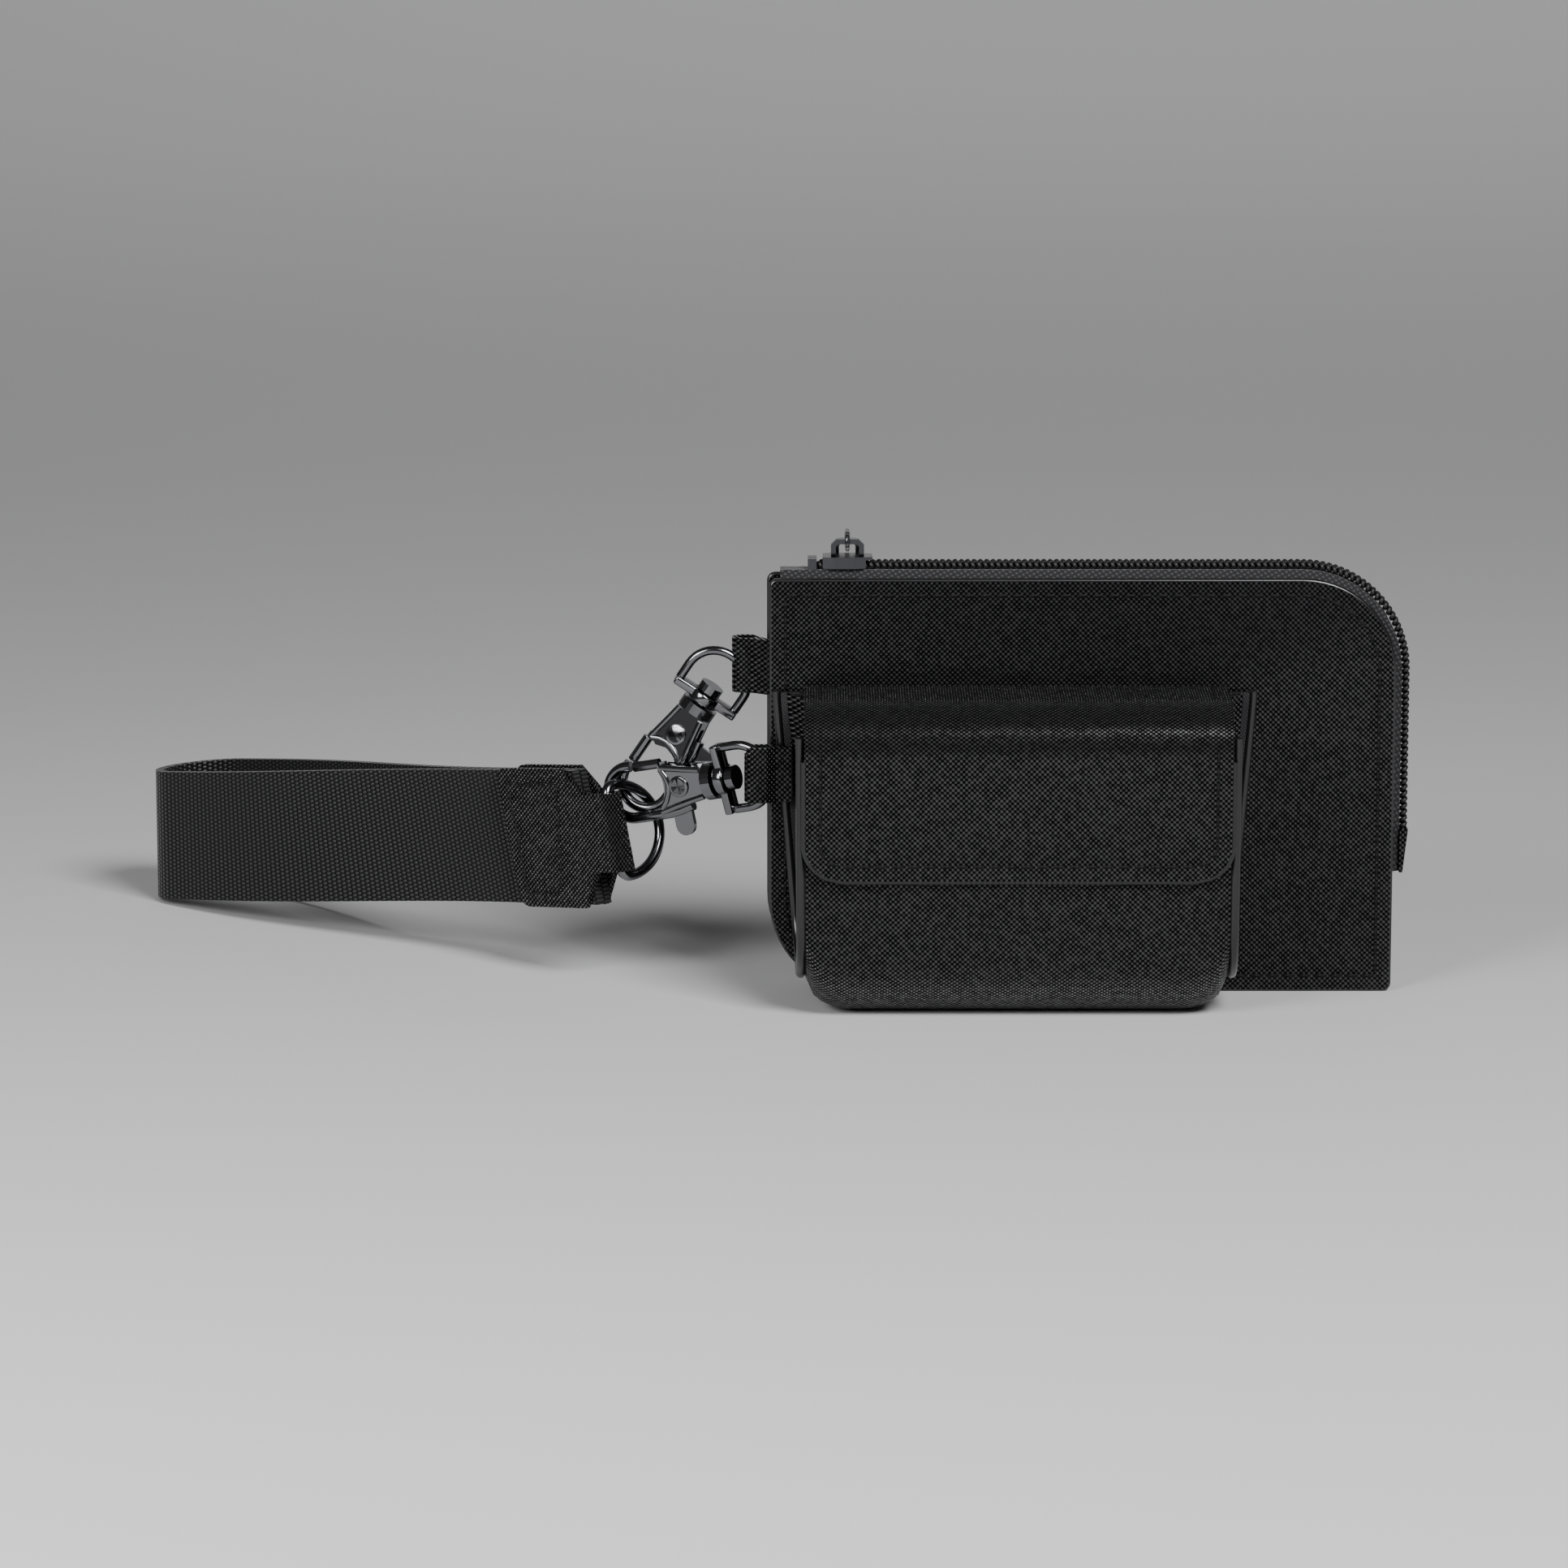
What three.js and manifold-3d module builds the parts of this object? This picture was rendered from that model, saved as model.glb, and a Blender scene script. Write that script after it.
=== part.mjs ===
// Wristlet set in black embossed leather: an L-shaped zip card wallet, a small flap pouch,
// and a webbing wrist strap whose two swivel trigger clasps hold them both on one D-ring.
// Millimetres, +Z up. The origin is the middle of the wallet's bottom edge, on the floor.
// -Y is the front, where the pouch stands.
import * as THREE from 'three';
import { mergeVertices } from 'three/addons/utils/BufferGeometryUtils.js';
import Module from 'manifold-3d';

const wasm = await Module();
wasm.setup();

// ---- Driving dimensions: wallet ----
const WALLET_WIDTH = 113.6;
const WALLET_HEIGHT = 76.3;
const WALLET_THICKNESS = 9.4;
const WALLET_BIG_RADIUS = 17;
const WALLET_SMALL_RADIUS = 1.5;
const LEATHER = 1.4;
const LINING = 0.4;
const LINING_INSET = 1.6;
const BACK_PANEL_EXTRA = 0.4;
const WELT_WIDTH = 3;
const WELT_GAP = 0.3;
const CARD_POCKET_INSET = 9;
const CARD_POCKET_HEIGHT = 52;
const CARD_POCKET_GAP = 0.6;
const TAPE = 0.4;
const TAPE_INSET = 7;
const CHAIN_PROUD = 1.3;
const COIL_HEIGHT = 1.5;
const COIL_WIDTH = 1.95;
const COIL_GAP = 0.3;
const ZIP_START_INSET = 7;
const ZIP_END_HEIGHT = 30;
const PATCH_LENGTH = 8;
const PATCH_THICKNESS = 0.5;
const PATCH_TAPER = 0.9;
const PATCH_PLAY = 0.1;
const BOTTOM_STOP_HEIGHT = 0.9;
const PATCH_WIDTH = 6.4;
const STOP_LENGTH = 1.7;
const STOP_HEIGHT = 2;

// ---- Driving dimensions: slider and pull ----
const SLIDER_LENGTH = 9;
const SLIDER_FROM_EDGE = 14.2;
const SLIDER_WALL = 0.6;
const SLIDER_PLAY = 0.25;
const BRIDGE_LENGTH = 6;
const BRIDGE_WIDTH = 1.5;
const BRIDGE_RISE = 3;
const BRIDGE_BAR = 0.9;
const LINK_WIRE = 0.9;
const LINK_PAST_FACE = 6.1;
const LINK_BORE = 2.1;
const LINK_DROP = 5;
const PULL_LENGTH = 16;
const PULL_WIDTH = 5.4;
const PULL_PLATE = 1;
const PULL_RIM = 1;
const PULL_PLAY = 0.3;

// ---- Driving dimensions: pouch ----
const POUCH_WIDTH = 86;
const POUCH_FLARE = 5.5;
const POUCH_HEIGHT = 57.5;
const POUCH_DEPTH = 24.8;
const POUCH_FROM_EDGE = 1.5;
const POUCH_BACK = -6.2;
const POUCH_FLOOR_GAP = 0.1;
const POUCH_BOTTOM_RADIUS = 10;
const POUCH_TOP_RADIUS = 6.5;
const POUCH_LEATHER = 1.2;
const POUCH_LINING = 0.4;
const LINING_DROP = 2;
const LINING_SIDE_GAP = 0.3;
const POUCH_FRONT_HEIGHT = 45;
const GUSSET = 1;
const GUSSET_INSET = 3;
const GUSSET_ABOVE_FRONT = 3;
const FLAP_DROP = 31.5;
const FLAP_CORNER = 6.8;
const FLAP_OVERHANG = 1;
const FLAP_GAP = 0.9;
const FLAP_HINGE_GAP = 0.35;
const MAGNET_DIAMETER = 12;
const MAGNET_THICKNESS = 0.5;
const MAGNET_HEIGHT = 35;

// ---- Driving dimensions: leather tabs ----
const TAB_WIDTH = 10;
const TAB_LEATHER = 1;
const TAB_HOLE_PLAY = 0.3;
const TAB_SLOPE_PLAY = 0.3;
const TAB_TAIL = 4;
const TAB_CLEARANCE = 0.3;
const TAB_LEAN = 0.35;
const UPPER_TAB_HEIGHT = 59.4;
const UPPER_TAB_REACH = 6.8;
const LOWER_TAB_HEIGHT = 41.2;
const LOWER_TAB_REACH = 6;
const UPPER_TAB_SWING = 10;
const LOWER_TAB_SWING = 18;
const EASE_STEPS = 4;
const UPPER_PIVOT = [2.16, -4.77, 0];

// ---- Driving dimensions: clasps ----
const LOOP_WIRE = 1.7;
const LOOP_WIDTH = 13.4;
const LOOP_LENGTH = 9.1;
const LOOP_CORNER = 5.4;
const CROSS_THICKNESS = 1.6;
const CROSS_DEPTH = 3.4;
const CROSS_WIDTH = 13;
const BOSS_RADIUS = 3;
const BOSS_PROUD = 0.4;
const RIVET_RADIUS = 1.2;
const RIVET_PLAY = 0.3;
const RIVET_HEAD_RADIUS = 2.25;
const RIVET_HEAD = 1.5;
const COLLAR_RADIUS = 3.5;
const COLLAR = 1.9;
const BODY_LENGTH = 8.9;
const BODY_THICKNESS = 3.7;
const BODY_NARROW = 5.6;
const BODY_WIDE = 8.6;
const PIN_FROM_COLLAR = 5.2;
const PIN_RADIUS = 0.8;
const PIN_HEAD_RADIUS = 1.45;
const PIN_HEAD = 0.35;
const PIN_PLAY = 0.3;
const HOOK_WIRE = 2;
const HOOK_RADIUS = 4.8;
const HOOK_REACH = 7.2;
const HOOK_TIP_ANGLE = 100;
const SLOT_WIDTH = 1.9;
const LEVER_PLATE = 1;
const GATE_GAP = 0.75;
const THUMB_WIDTH = 3.8;
const THUMB_DROP = 9.3;
const HUB_RADIUS = 2.1;
const SPRING_WIRE = 0.25;
const SPRING_PLAY = 0.08;

// ---- Driving dimensions: D-ring and strap ----
const RING_WIRE = 2.1;
const RING_WIDTH = 19;
const RING_DEPTH = 13;
const RING_CORNER = 1.8;
const WEBBING_WIDTH = 25;
const WEBBING = 1.5;
const WEBBING_GAP = 0.35;
const STRAP_LENGTH = 122;
const STRAP_LOOP_WIDTH = 20;
const STRAP_FLOOR_GAP = 0.15;
const STRAP_YAW = 43.7;
const STRAP_LEAN = 0.27;
const END_LEATHER = 1.2;
const END_LENGTH = 25;
const END_NECK_LENGTH = 4.6;
const END_NECK_WIDTH = 14.5;
const END_SHOULDER = 4.5;
const END_MARGIN = 0.5;
const END_CORNER = 2.2;

// ---- Where the clasps and the ring lie: X from the wallet's left edge, Y, Z ----
const UPPER_LOOP_OFFSET = [-6.66, 3.25, 60.72];
const UPPER_HOOK_OFFSET = [-21.95, 5.63, 37.73];
const UPPER_SWIVEL = 20.77;
const LOWER_LOOP_OFFSET = [-0.21, -8.42, 41.52];
const LOWER_HOOK_OFFSET = [-26.57, 4.93, 34.97];
const LOWER_SWIVEL = 5.28;
const RING_OFFSET = [-28.38, -0.07, 28.85];
const RING_YAW = -42.19;
const STRAP_DROP = 1;

// ---- Derived sizes ----
const HALF = WALLET_THICKNESS / 2;
const PANEL_FACE = HALF - LEATHER;
const LINK_LENGTH = HALF + LINK_PAST_FACE;
const LINING_FACE = PANEL_FACE - LINING;
const TAPE_FACE = LINING_FACE - TAPE;
const WALLET_LEFT = -WALLET_WIDTH / 2;
const WALLET_RIGHT = WALLET_WIDTH / 2;
const POUCH_LEFT = WALLET_LEFT + POUCH_FROM_EDGE;
const fromEdge = ([x, y, z]) => new THREE.Vector3(WALLET_LEFT + x, y, z);
const UPPER_BAR = fromEdge(UPPER_LOOP_OFFSET);
const UPPER_HOOK = fromEdge(UPPER_HOOK_OFFSET);
const LOWER_BAR = fromEdge(LOWER_LOOP_OFFSET);
const LOWER_HOOK = fromEdge(LOWER_HOOK_OFFSET);
const RING_AT = fromEdge(RING_OFFSET);
const CLASP_COLLAR_START = LOOP_LENGTH + CROSS_THICKNESS / 2 + BOSS_PROUD + RIVET_PLAY;
const CLASP_BODY_START = CLASP_COLLAR_START + COLLAR;
const PIN_AT = CLASP_BODY_START + PIN_FROM_COLLAR;
const HOOK_CENTRE = CLASP_BODY_START + BODY_LENGTH + HOOK_REACH;
const rad = THREE.MathUtils.degToRad;

// ---- Materials ----
function material(colour, roughness, metalness) {
  return new THREE.MeshStandardMaterial({ color: colour, roughness, metalness });
}
const leatherFinish = () => material(0x1c1c1d, 0.5, 0);
const liningFinish = () => material(0x26262a, 0.85, 0);
const tapeFinish = () => material(0x161617, 0.8, 0);
const webbingFinish = () => material(0x1a1a1b, 0.65, 0);
const metalFinish = () => material(0x6a6a6c, 0.22, 1);
const magnetFinish = () => material(0x8a8a8c, 0.35, 1);

// ---- Solids ----
function signedVolume(positions, index) {
  let volume = 0;
  const a = new THREE.Vector3();
  const b = new THREE.Vector3();
  const c = new THREE.Vector3();
  for (let i = 0; i < index.length; i += 3) {
    a.fromArray(positions, index[i] * 3);
    b.fromArray(positions, index[i + 1] * 3);
    c.fromArray(positions, index[i + 2] * 3);
    volume += a.dot(b.cross(c)) / 6;
  }
  return volume;
}

// A closed geometry with merged corners and its faces pointing out.
function closed(geometry) {
  const bare = geometry.clone();
  bare.deleteAttribute('normal');
  bare.deleteAttribute('uv');
  const merged = mergeVertices(bare, 1e-4);
  const index = Array.from(merged.index.array);
  if (signedVolume(merged.attributes.position.array, index) < 0) {
    for (let i = 0; i < index.length; i += 3) {
      [index[i + 1], index[i + 2]] = [index[i + 2], index[i + 1]];
    }
    merged.setIndex(index);
  }
  return merged;
}

function toSolid(geometry) {
  const merged = closed(geometry);
  return new wasm.Manifold(new wasm.Mesh({
    numProp: 3,
    vertProperties: new Float32Array(merged.attributes.position.array),
    triVerts: new Uint32Array(merged.index.array),
  }));
}

function fromSolid(solid) {
  const mesh = solid.getMesh();
  const geometry = new THREE.BufferGeometry();
  geometry.setAttribute('position', new THREE.BufferAttribute(new Float32Array(mesh.vertProperties), 3));
  geometry.setIndex(new THREE.BufferAttribute(new Uint32Array(mesh.triVerts), 1));
  return geometry;
}

function joined(...geometries) {
  return fromSolid(geometries.map(toSolid).reduce((whole, next) => whole.add(next)));
}

function cut(geometry, ...tools) {
  return fromSolid(tools.map(toSolid).reduce((whole, next) => whole.subtract(next), toSolid(geometry)));
}

function common(first, second) {
  return fromSolid(toSolid(first).intersect(toSolid(second)));
}

function block(x0, x1, y0, y1, z0, z1) {
  const geometry = new THREE.BoxGeometry(x1 - x0, y1 - y0, z1 - z0);
  return geometry.translate((x0 + x1) / 2, (y0 + y1) / 2, (z0 + z1) / 2);
}

// A cylinder along X, from x0 to x1.
function rodX(x0, x1, radius, y = 0, z = 0, sides = 20) {
  const geometry = new THREE.CylinderGeometry(radius, radius, x1 - x0, sides);
  return geometry.rotateZ(Math.PI / 2).translate((x0 + x1) / 2, y, z);
}

// A cylinder along Z, from z0 to z1.
function rodZ(x, y, radius, z0, z1, sides = 20) {
  const geometry = new THREE.CylinderGeometry(radius, radius, z1 - z0, sides);
  return geometry.rotateX(Math.PI / 2).translate(x, y, (z0 + z1) / 2);
}

// A flat outline drawn in XZ, standing upright from y0 to y1.
function upright(shape, y0, y1, curveSegments = 8) {
  const geometry = new THREE.ExtrudeGeometry(shape, { depth: y1 - y0, bevelEnabled: false, curveSegments });
  return geometry.rotateX(Math.PI / 2).translate(0, y1, 0);
}

// A flat outline drawn in YZ, extruded along X from x0 to x1.
function along(shape, x0, x1, curveSegments = 8) {
  const geometry = new THREE.ExtrudeGeometry(shape, { depth: x1 - x0, bevelEnabled: false, curveSegments });
  const turn = new THREE.Matrix4().makeBasis(
    new THREE.Vector3(0, 1, 0), new THREE.Vector3(0, 0, 1), new THREE.Vector3(1, 0, 0));
  return geometry.applyMatrix4(turn).translate(x0, 0, 0);
}

// A flat outline drawn in XY, lying from z0 to z1.
function flat(shape, z0, z1, curveSegments = 8) {
  const geometry = new THREE.ExtrudeGeometry(shape, { depth: z1 - z0, bevelEnabled: false, curveSegments });
  return geometry.translate(0, 0, z0);
}

function polygon(points) {
  return new THREE.Shape(points.map(([x, y]) => new THREE.Vector2(x, y)));
}

// A four-sided outline with its own radius at each corner.
function roundedOutline(left, right, bottom, top, { bl, br, tr, tl }) {
  const shape = new THREE.Shape();
  shape.moveTo(left + bl, bottom);
  shape.lineTo(right - br, bottom);
  shape.absarc(right - br, bottom + br, br, -Math.PI / 2, 0, false);
  shape.lineTo(right, top - tr);
  shape.absarc(right - tr, top - tr, tr, 0, Math.PI / 2, false);
  shape.lineTo(left + tl, top);
  shape.absarc(left + tl, top - tl, tl, Math.PI / 2, Math.PI, false);
  shape.lineTo(left, bottom + bl);
  shape.absarc(left + bl, bottom + bl, bl, Math.PI, Math.PI * 1.5, false);
  return shape;
}

// A section carried along stations; each station holds a place and the section's two directions.
function sweep(stations, outline, ring = false) {
  const corners = outline.map(([a, b]) => new THREE.Vector2(a, b));
  const section = THREE.ShapeUtils.isClockWise(corners) ? outline.slice().reverse() : outline;
  const count = section.length;
  const positions = [];
  const index = [];
  for (const { at, u, v } of stations) {
    for (const [a, b] of section) {
      const point = at.clone().addScaledVector(u, a).addScaledVector(v, b);
      positions.push(point.x, point.y, point.z);
    }
  }
  const spans = ring ? stations.length : stations.length - 1;
  for (let i = 0; i < spans; i += 1) {
    const here = i * count;
    const next = ((i + 1) % stations.length) * count;
    for (let j = 0; j < count; j += 1) {
      const k = (j + 1) % count;
      index.push(here + j, here + k, next + k, here + j, next + k, next + j);
    }
  }
  if (!ring) {
    const contour = section.map(([a, b]) => new THREE.Vector2(a, b));
    const last = (stations.length - 1) * count;
    for (const [a, b, c] of THREE.ShapeUtils.triangulateShape(contour, [])) {
      index.push(c, b, a, last + a, last + b, last + c);
    }
  }
  const geometry = new THREE.BufferGeometry();
  geometry.setAttribute('position', new THREE.BufferAttribute(new Float32Array(positions), 3));
  geometry.setIndex(index);
  return closed(geometry);
}

function circle(radius, sides) {
  return Array.from({ length: sides }, (_, i) => {
    const angle = (i / sides) * Math.PI * 2;
    return [radius * Math.cos(angle), radius * Math.sin(angle)];
  });
}

function rectangle(width, height) {
  const a = width / 2;
  const b = height / 2;
  return [[-a, -b], [a, -b], [a, b], [-a, b]];
}

// Stations on a flat path of [x, y] points in the XY plane; u lies in the plane, v is +Z.
function flatStations(points, ring = false) {
  const up = new THREE.Vector3(0, 0, 1);
  return points.map((point, i) => {
    const before = points[ring ? (i + points.length - 1) % points.length : Math.max(i - 1, 0)];
    const after = points[ring ? (i + 1) % points.length : Math.min(i + 1, points.length - 1)];
    const tangent = new THREE.Vector3(after[0] - before[0], after[1] - before[1], 0).normalize();
    return { at: new THREE.Vector3(point[0], point[1], 0), u: tangent.clone().cross(up), v: up };
  });
}

function arcPoints(cx, cy, radius, from, to, steps) {
  return Array.from({ length: steps + 1 }, (_, i) => {
    const angle = rad(from + ((to - from) * i) / steps);
    return [cx + radius * Math.cos(angle), cy + radius * Math.sin(angle)];
  });
}

const group = new THREE.Group();
function place(name, geometry, finish, parent = group) {
  const mesh = new THREE.Mesh(geometry, finish());
  mesh.name = name;
  parent.add(mesh);
  return mesh;
}

// ---- Wallet ----
function walletOutline(inset, extra = 0) {
  const big = WALLET_BIG_RADIUS - inset;
  const small = Math.max(WALLET_SMALL_RADIUS - inset, 0.3);
  return roundedOutline(
    WALLET_LEFT + inset - extra, WALLET_RIGHT - inset + extra, inset, WALLET_HEIGHT - inset,
    { bl: big, br: small, tr: big, tl: small });
}

function makeWalletPanels() {
  place('wallet_front_panel', upright(walletOutline(0), -HALF, -PANEL_FACE), leatherFinish);
  const backOutline = walletOutline(0, BACK_PANEL_EXTRA);
  place('wallet_back_panel', upright(backOutline, PANEL_FACE, HALF), leatherFinish);
  const inner = walletOutline(LINING_INSET);
  place('wallet_front_lining', upright(inner, -PANEL_FACE, -LINING_FACE), liningFinish);
  place('wallet_back_lining', upright(inner, LINING_FACE, PANEL_FACE), liningFinish);
}

// The welt closes the left and bottom edges, from the zip's start to its end.
function makeWelt() {
  const face = LINING_FACE;
  const band = cut(
    upright(walletOutline(0), -face, face),
    upright(walletOutline(WELT_WIDTH), -face - 1, face + 1),
    block(WALLET_LEFT + WELT_WIDTH - 0.01, WALLET_RIGHT + 1, -face - 1, face + 1,
      WALLET_HEIGHT - WELT_WIDTH - 1, WALLET_HEIGHT + 1),
    block(WALLET_LEFT - 1, WALLET_LEFT + WELT_WIDTH + 1, -face - 1, face + 1,
      WALLET_HEIGHT - TAPE_INSET - WELT_GAP, WALLET_HEIGHT + 1),
    block(WALLET_LEFT + WALLET_BIG_RADIUS, WALLET_RIGHT + 1, -face - 1, face + 1,
      ZIP_END_HEIGHT - PATCH_LENGTH - WELT_GAP, WALLET_HEIGHT + 1));
  place('wallet_edge_welt', band, leatherFinish);
}

// A card pocket of lining leather stands in front of the back lining.
function makeCardPocket() {
  const back = LINING_FACE - CARD_POCKET_GAP;
  const outline = roundedOutline(
    WALLET_LEFT + CARD_POCKET_INSET, WALLET_RIGHT - CARD_POCKET_INSET,
    WELT_WIDTH + WELT_GAP, CARD_POCKET_HEIGHT,
    { bl: WALLET_BIG_RADIUS - WELT_WIDTH, br: 1, tr: 1, tl: 1 });
  place('card_pocket', upright(outline, back - LINING, back), liningFinish);
}

// Stations along the zip: across the top, round the big corner and down the right side.
function zipStations(startInset, endHeight) {
  const sideways = new THREE.Vector3(0, 1, 0);
  const stations = [];
  const add = (x, z, nx, nz) => stations.push({
    at: new THREE.Vector3(x, 0, z), u: new THREE.Vector3(nx, 0, nz), v: sideways });
  add(WALLET_LEFT + startInset, WALLET_HEIGHT, 0, 1);
  const steps = 8;
  const cx = WALLET_RIGHT - WALLET_BIG_RADIUS;
  const cz = WALLET_HEIGHT - WALLET_BIG_RADIUS;
  for (let i = 0; i <= steps; i += 1) {
    const angle = (Math.PI / 2) * (1 - i / steps);
    const nx = Math.cos(angle);
    const nz = Math.sin(angle);
    add(cx + WALLET_BIG_RADIUS * nx, cz + WALLET_BIG_RADIUS * nz, nx, nz);
  }
  add(WALLET_RIGHT, endHeight, 1, 0);
  return stations;
}

// One tape: it lies on the lining, rises past the panel's edge and turns in under its coil.
function tapeSection(side) {
  const shoulder = CHAIN_PROUD - TAPE;
  return [
    [-TAPE_INSET, LINING_FACE], [shoulder - 1, LINING_FACE], [CHAIN_PROUD, LINING_FACE - 0.8],
    [CHAIN_PROUD, COIL_GAP / 2], [shoulder, COIL_GAP / 2], [shoulder, LINING_FACE - 0.8 - TAPE],
    [shoulder - 1, TAPE_FACE], [-TAPE_INSET, TAPE_FACE],
  ].map(([out, across]) => [out, across * side]);
}

function coilSection(side) {
  const top = CHAIN_PROUD + COIL_HEIGHT;
  const near = COIL_GAP / 2;
  const far = near + COIL_WIDTH;
  return [[CHAIN_PROUD, near], [CHAIN_PROUD, far], [top - 0.4, far], [top, far - 0.4], [top, near]]
    .map(([out, across]) => [out, across * side]);
}

function makeZip() {
  for (const [name, side] of [['front', -1], ['back', 1]]) {
    const tapePath = zipStations(ZIP_START_INSET - 5, ZIP_END_HEIGHT - PATCH_LENGTH);
    place(`zip_tape_${name}`, sweep(tapePath, tapeSection(side)), tapeFinish);
    const coilPath = zipStations(ZIP_START_INSET + STOP_LENGTH, ZIP_END_HEIGHT);
    place(`zip_coil_${name}`, sweep(coilPath, coilSection(side)), tapeFinish);
    const near = COIL_GAP / 2;
    const far = near + COIL_WIDTH;
    const [y0, y1] = side < 0 ? [-far, -near] : [near, far];
    const stopLeft = WALLET_LEFT + ZIP_START_INSET;
    const base = WALLET_HEIGHT + CHAIN_PROUD;
    place(`zip_top_stop_${name}`,
      block(stopLeft, stopLeft + STOP_LENGTH - 0.1, y0, y1, base, base + STOP_HEIGHT), metalFinish);
  }
  const endTop = ZIP_END_HEIGHT - 0.1;
  const stopOut = WALLET_RIGHT + CHAIN_PROUD;
  const half = COIL_GAP / 2 + COIL_WIDTH;
  place('zip_bottom_stop',
    block(stopOut, stopOut + BOTTOM_STOP_HEIGHT, -half, half, endTop - STOP_LENGTH, endTop), metalFinish);
  const patchHalf = PATCH_WIDTH / 2;
  const patchIn = stopOut + BOTTOM_STOP_HEIGHT + PATCH_PLAY;
  const patchOut = patchIn + PATCH_THICKNESS;
  const wedge = upright(polygon([
    [stopOut, endTop - PATCH_LENGTH], [stopOut, endTop], [patchOut, endTop],
    [patchOut - PATCH_TAPER, endTop - PATCH_LENGTH]]), -patchHalf, patchHalf);
  const stopRoom = block(
    stopOut - 1, patchIn, -half - PATCH_PLAY, half + PATCH_PLAY,
    endTop - STOP_LENGTH - PATCH_PLAY, endTop + 1);
  place('zip_end_patch', cut(wedge, stopRoom), leatherFinish);
}

// ---- Slider, link and pull ----
const SLIDER_X = WALLET_LEFT + SLIDER_FROM_EDGE;
const SLIDER_TOP = WALLET_HEIGHT + CHAIN_PROUD + COIL_HEIGHT + SLIDER_PLAY + SLIDER_WALL;
const LINK_AXIS_Z = SLIDER_TOP + BRIDGE_RISE - BRIDGE_BAR / 2;

function makeSlider() {
  const inner = COIL_GAP / 2 + COIL_WIDTH + SLIDER_PLAY;
  const outer = inner + SLIDER_WALL;
  const low = WALLET_HEIGHT + CHAIN_PROUD + SLIDER_PLAY;
  const nose = SLIDER_LENGTH / 2;
  const outline = polygon([
    [-nose, -inner], [-nose + 2, -outer], [nose - 3, -outer], [nose, -inner + 0.4],
    [nose, inner - 0.4], [nose - 3, outer], [-nose + 2, outer], [-nose, inner]]);
  const crown = flat(outline, low, SLIDER_TOP).translate(SLIDER_X, 0, 0);
  const channel = block(
    SLIDER_X - nose - 1, SLIDER_X + nose + 1, -inner, inner, low - 1, SLIDER_TOP - SLIDER_WALL);
  const half = BRIDGE_LENGTH / 2;
  const under = BRIDGE_RISE - BRIDGE_BAR;
  const leg = half - BRIDGE_BAR;
  const root = -SLIDER_WALL / 2;
  const bridgeShape = polygon([
    [-half, root], [-half, BRIDGE_RISE - 1], [-half + 1, BRIDGE_RISE], [half - 1, BRIDGE_RISE],
    [half, BRIDGE_RISE - 1], [half, root], [leg, root], [leg, under - 0.4],
    [leg - 0.4, under], [-leg + 0.4, under], [-leg, under - 0.4], [-leg, root]]);
  const bridge = upright(bridgeShape, -BRIDGE_WIDTH / 2, BRIDGE_WIDTH / 2);
  bridge.translate(SLIDER_X, 0, SLIDER_TOP);
  place('zip_slider', joined(cut(crown, channel), bridge), metalFinish);
}

// Rounded closed path in XY: a bar at x = 0 and the far side at x = length.
function loopPath(length, width, nearCorner, farCorner, steps) {
  const half = width / 2;
  return [
    ...arcPoints(nearCorner, -half + nearCorner, nearCorner, 180, 270, steps),
    ...arcPoints(length - farCorner, -half + farCorner, farCorner, 270, 360, steps),
    ...arcPoints(length - farCorner, half - farCorner, farCorner, 0, 90, steps),
    ...arcPoints(nearCorner, half - nearCorner, nearCorner, 90, 180, steps),
  ];
}

// The link is threaded round the bridge's bar and lies back over the slider; the pull hangs from it.
function makePull() {
  const link = new THREE.Group();
  link.position.set(SLIDER_X, 0, LINK_AXIS_Z);
  const down = rad(LINK_DROP);
  const out = new THREE.Vector3(0, Math.cos(down), -Math.sin(down));
  const over = new THREE.Vector3(0, Math.sin(down), Math.cos(down));
  const basis = new THREE.Matrix4().makeBasis(out, over, out.clone().cross(over));
  link.quaternion.setFromRotationMatrix(basis);
  group.add(link);
  const bend = (LINK_BORE + LINK_WIRE) / 2;
  const ringPath = loopPath(LINK_LENGTH - LINK_WIRE, 2 * bend, bend, bend, 4);
  const ring = sweep(flatStations(ringPath, true), circle(LINK_WIRE / 2, 8), true);
  place('zip_pull_link', ring.translate(-bend, 0, 0), metalFinish, link);

  const hang = new THREE.Vector3(SLIDER_X, 0, LINK_AXIS_Z);
  hang.addScaledVector(out, LINK_LENGTH - LINK_WIRE - 2 * bend - PULL_PLATE);
  hang.addScaledVector(over, -bend);
  const half = PULL_WIDTH / 2;
  const holeHalf = half - PULL_RIM - 0.2;
  const holeTop = LINK_WIRE / 2 + PULL_PLAY;
  const top = holeTop + PULL_RIM;
  const nose = half - 0.1;
  const plateOutline = roundedOutline(
    -half, half, top - PULL_LENGTH, top, { bl: nose, br: nose, tr: 1.6, tl: 1.6 });
  const plate = upright(plateOutline, -PULL_PLATE / 2, PULL_PLATE / 2, 4);
  const holeOutline = roundedOutline(
    -holeHalf, holeHalf, -LINK_WIRE * 2, holeTop, { bl: 0.6, br: 0.6, tr: 0.6, tl: 0.6 });
  const hole = upright(holeOutline, -PULL_PLATE, PULL_PLATE, 2);
  place('zip_pull', cut(plate, hole).translate(hang.x, hang.y, hang.z), metalFinish);
}

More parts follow.
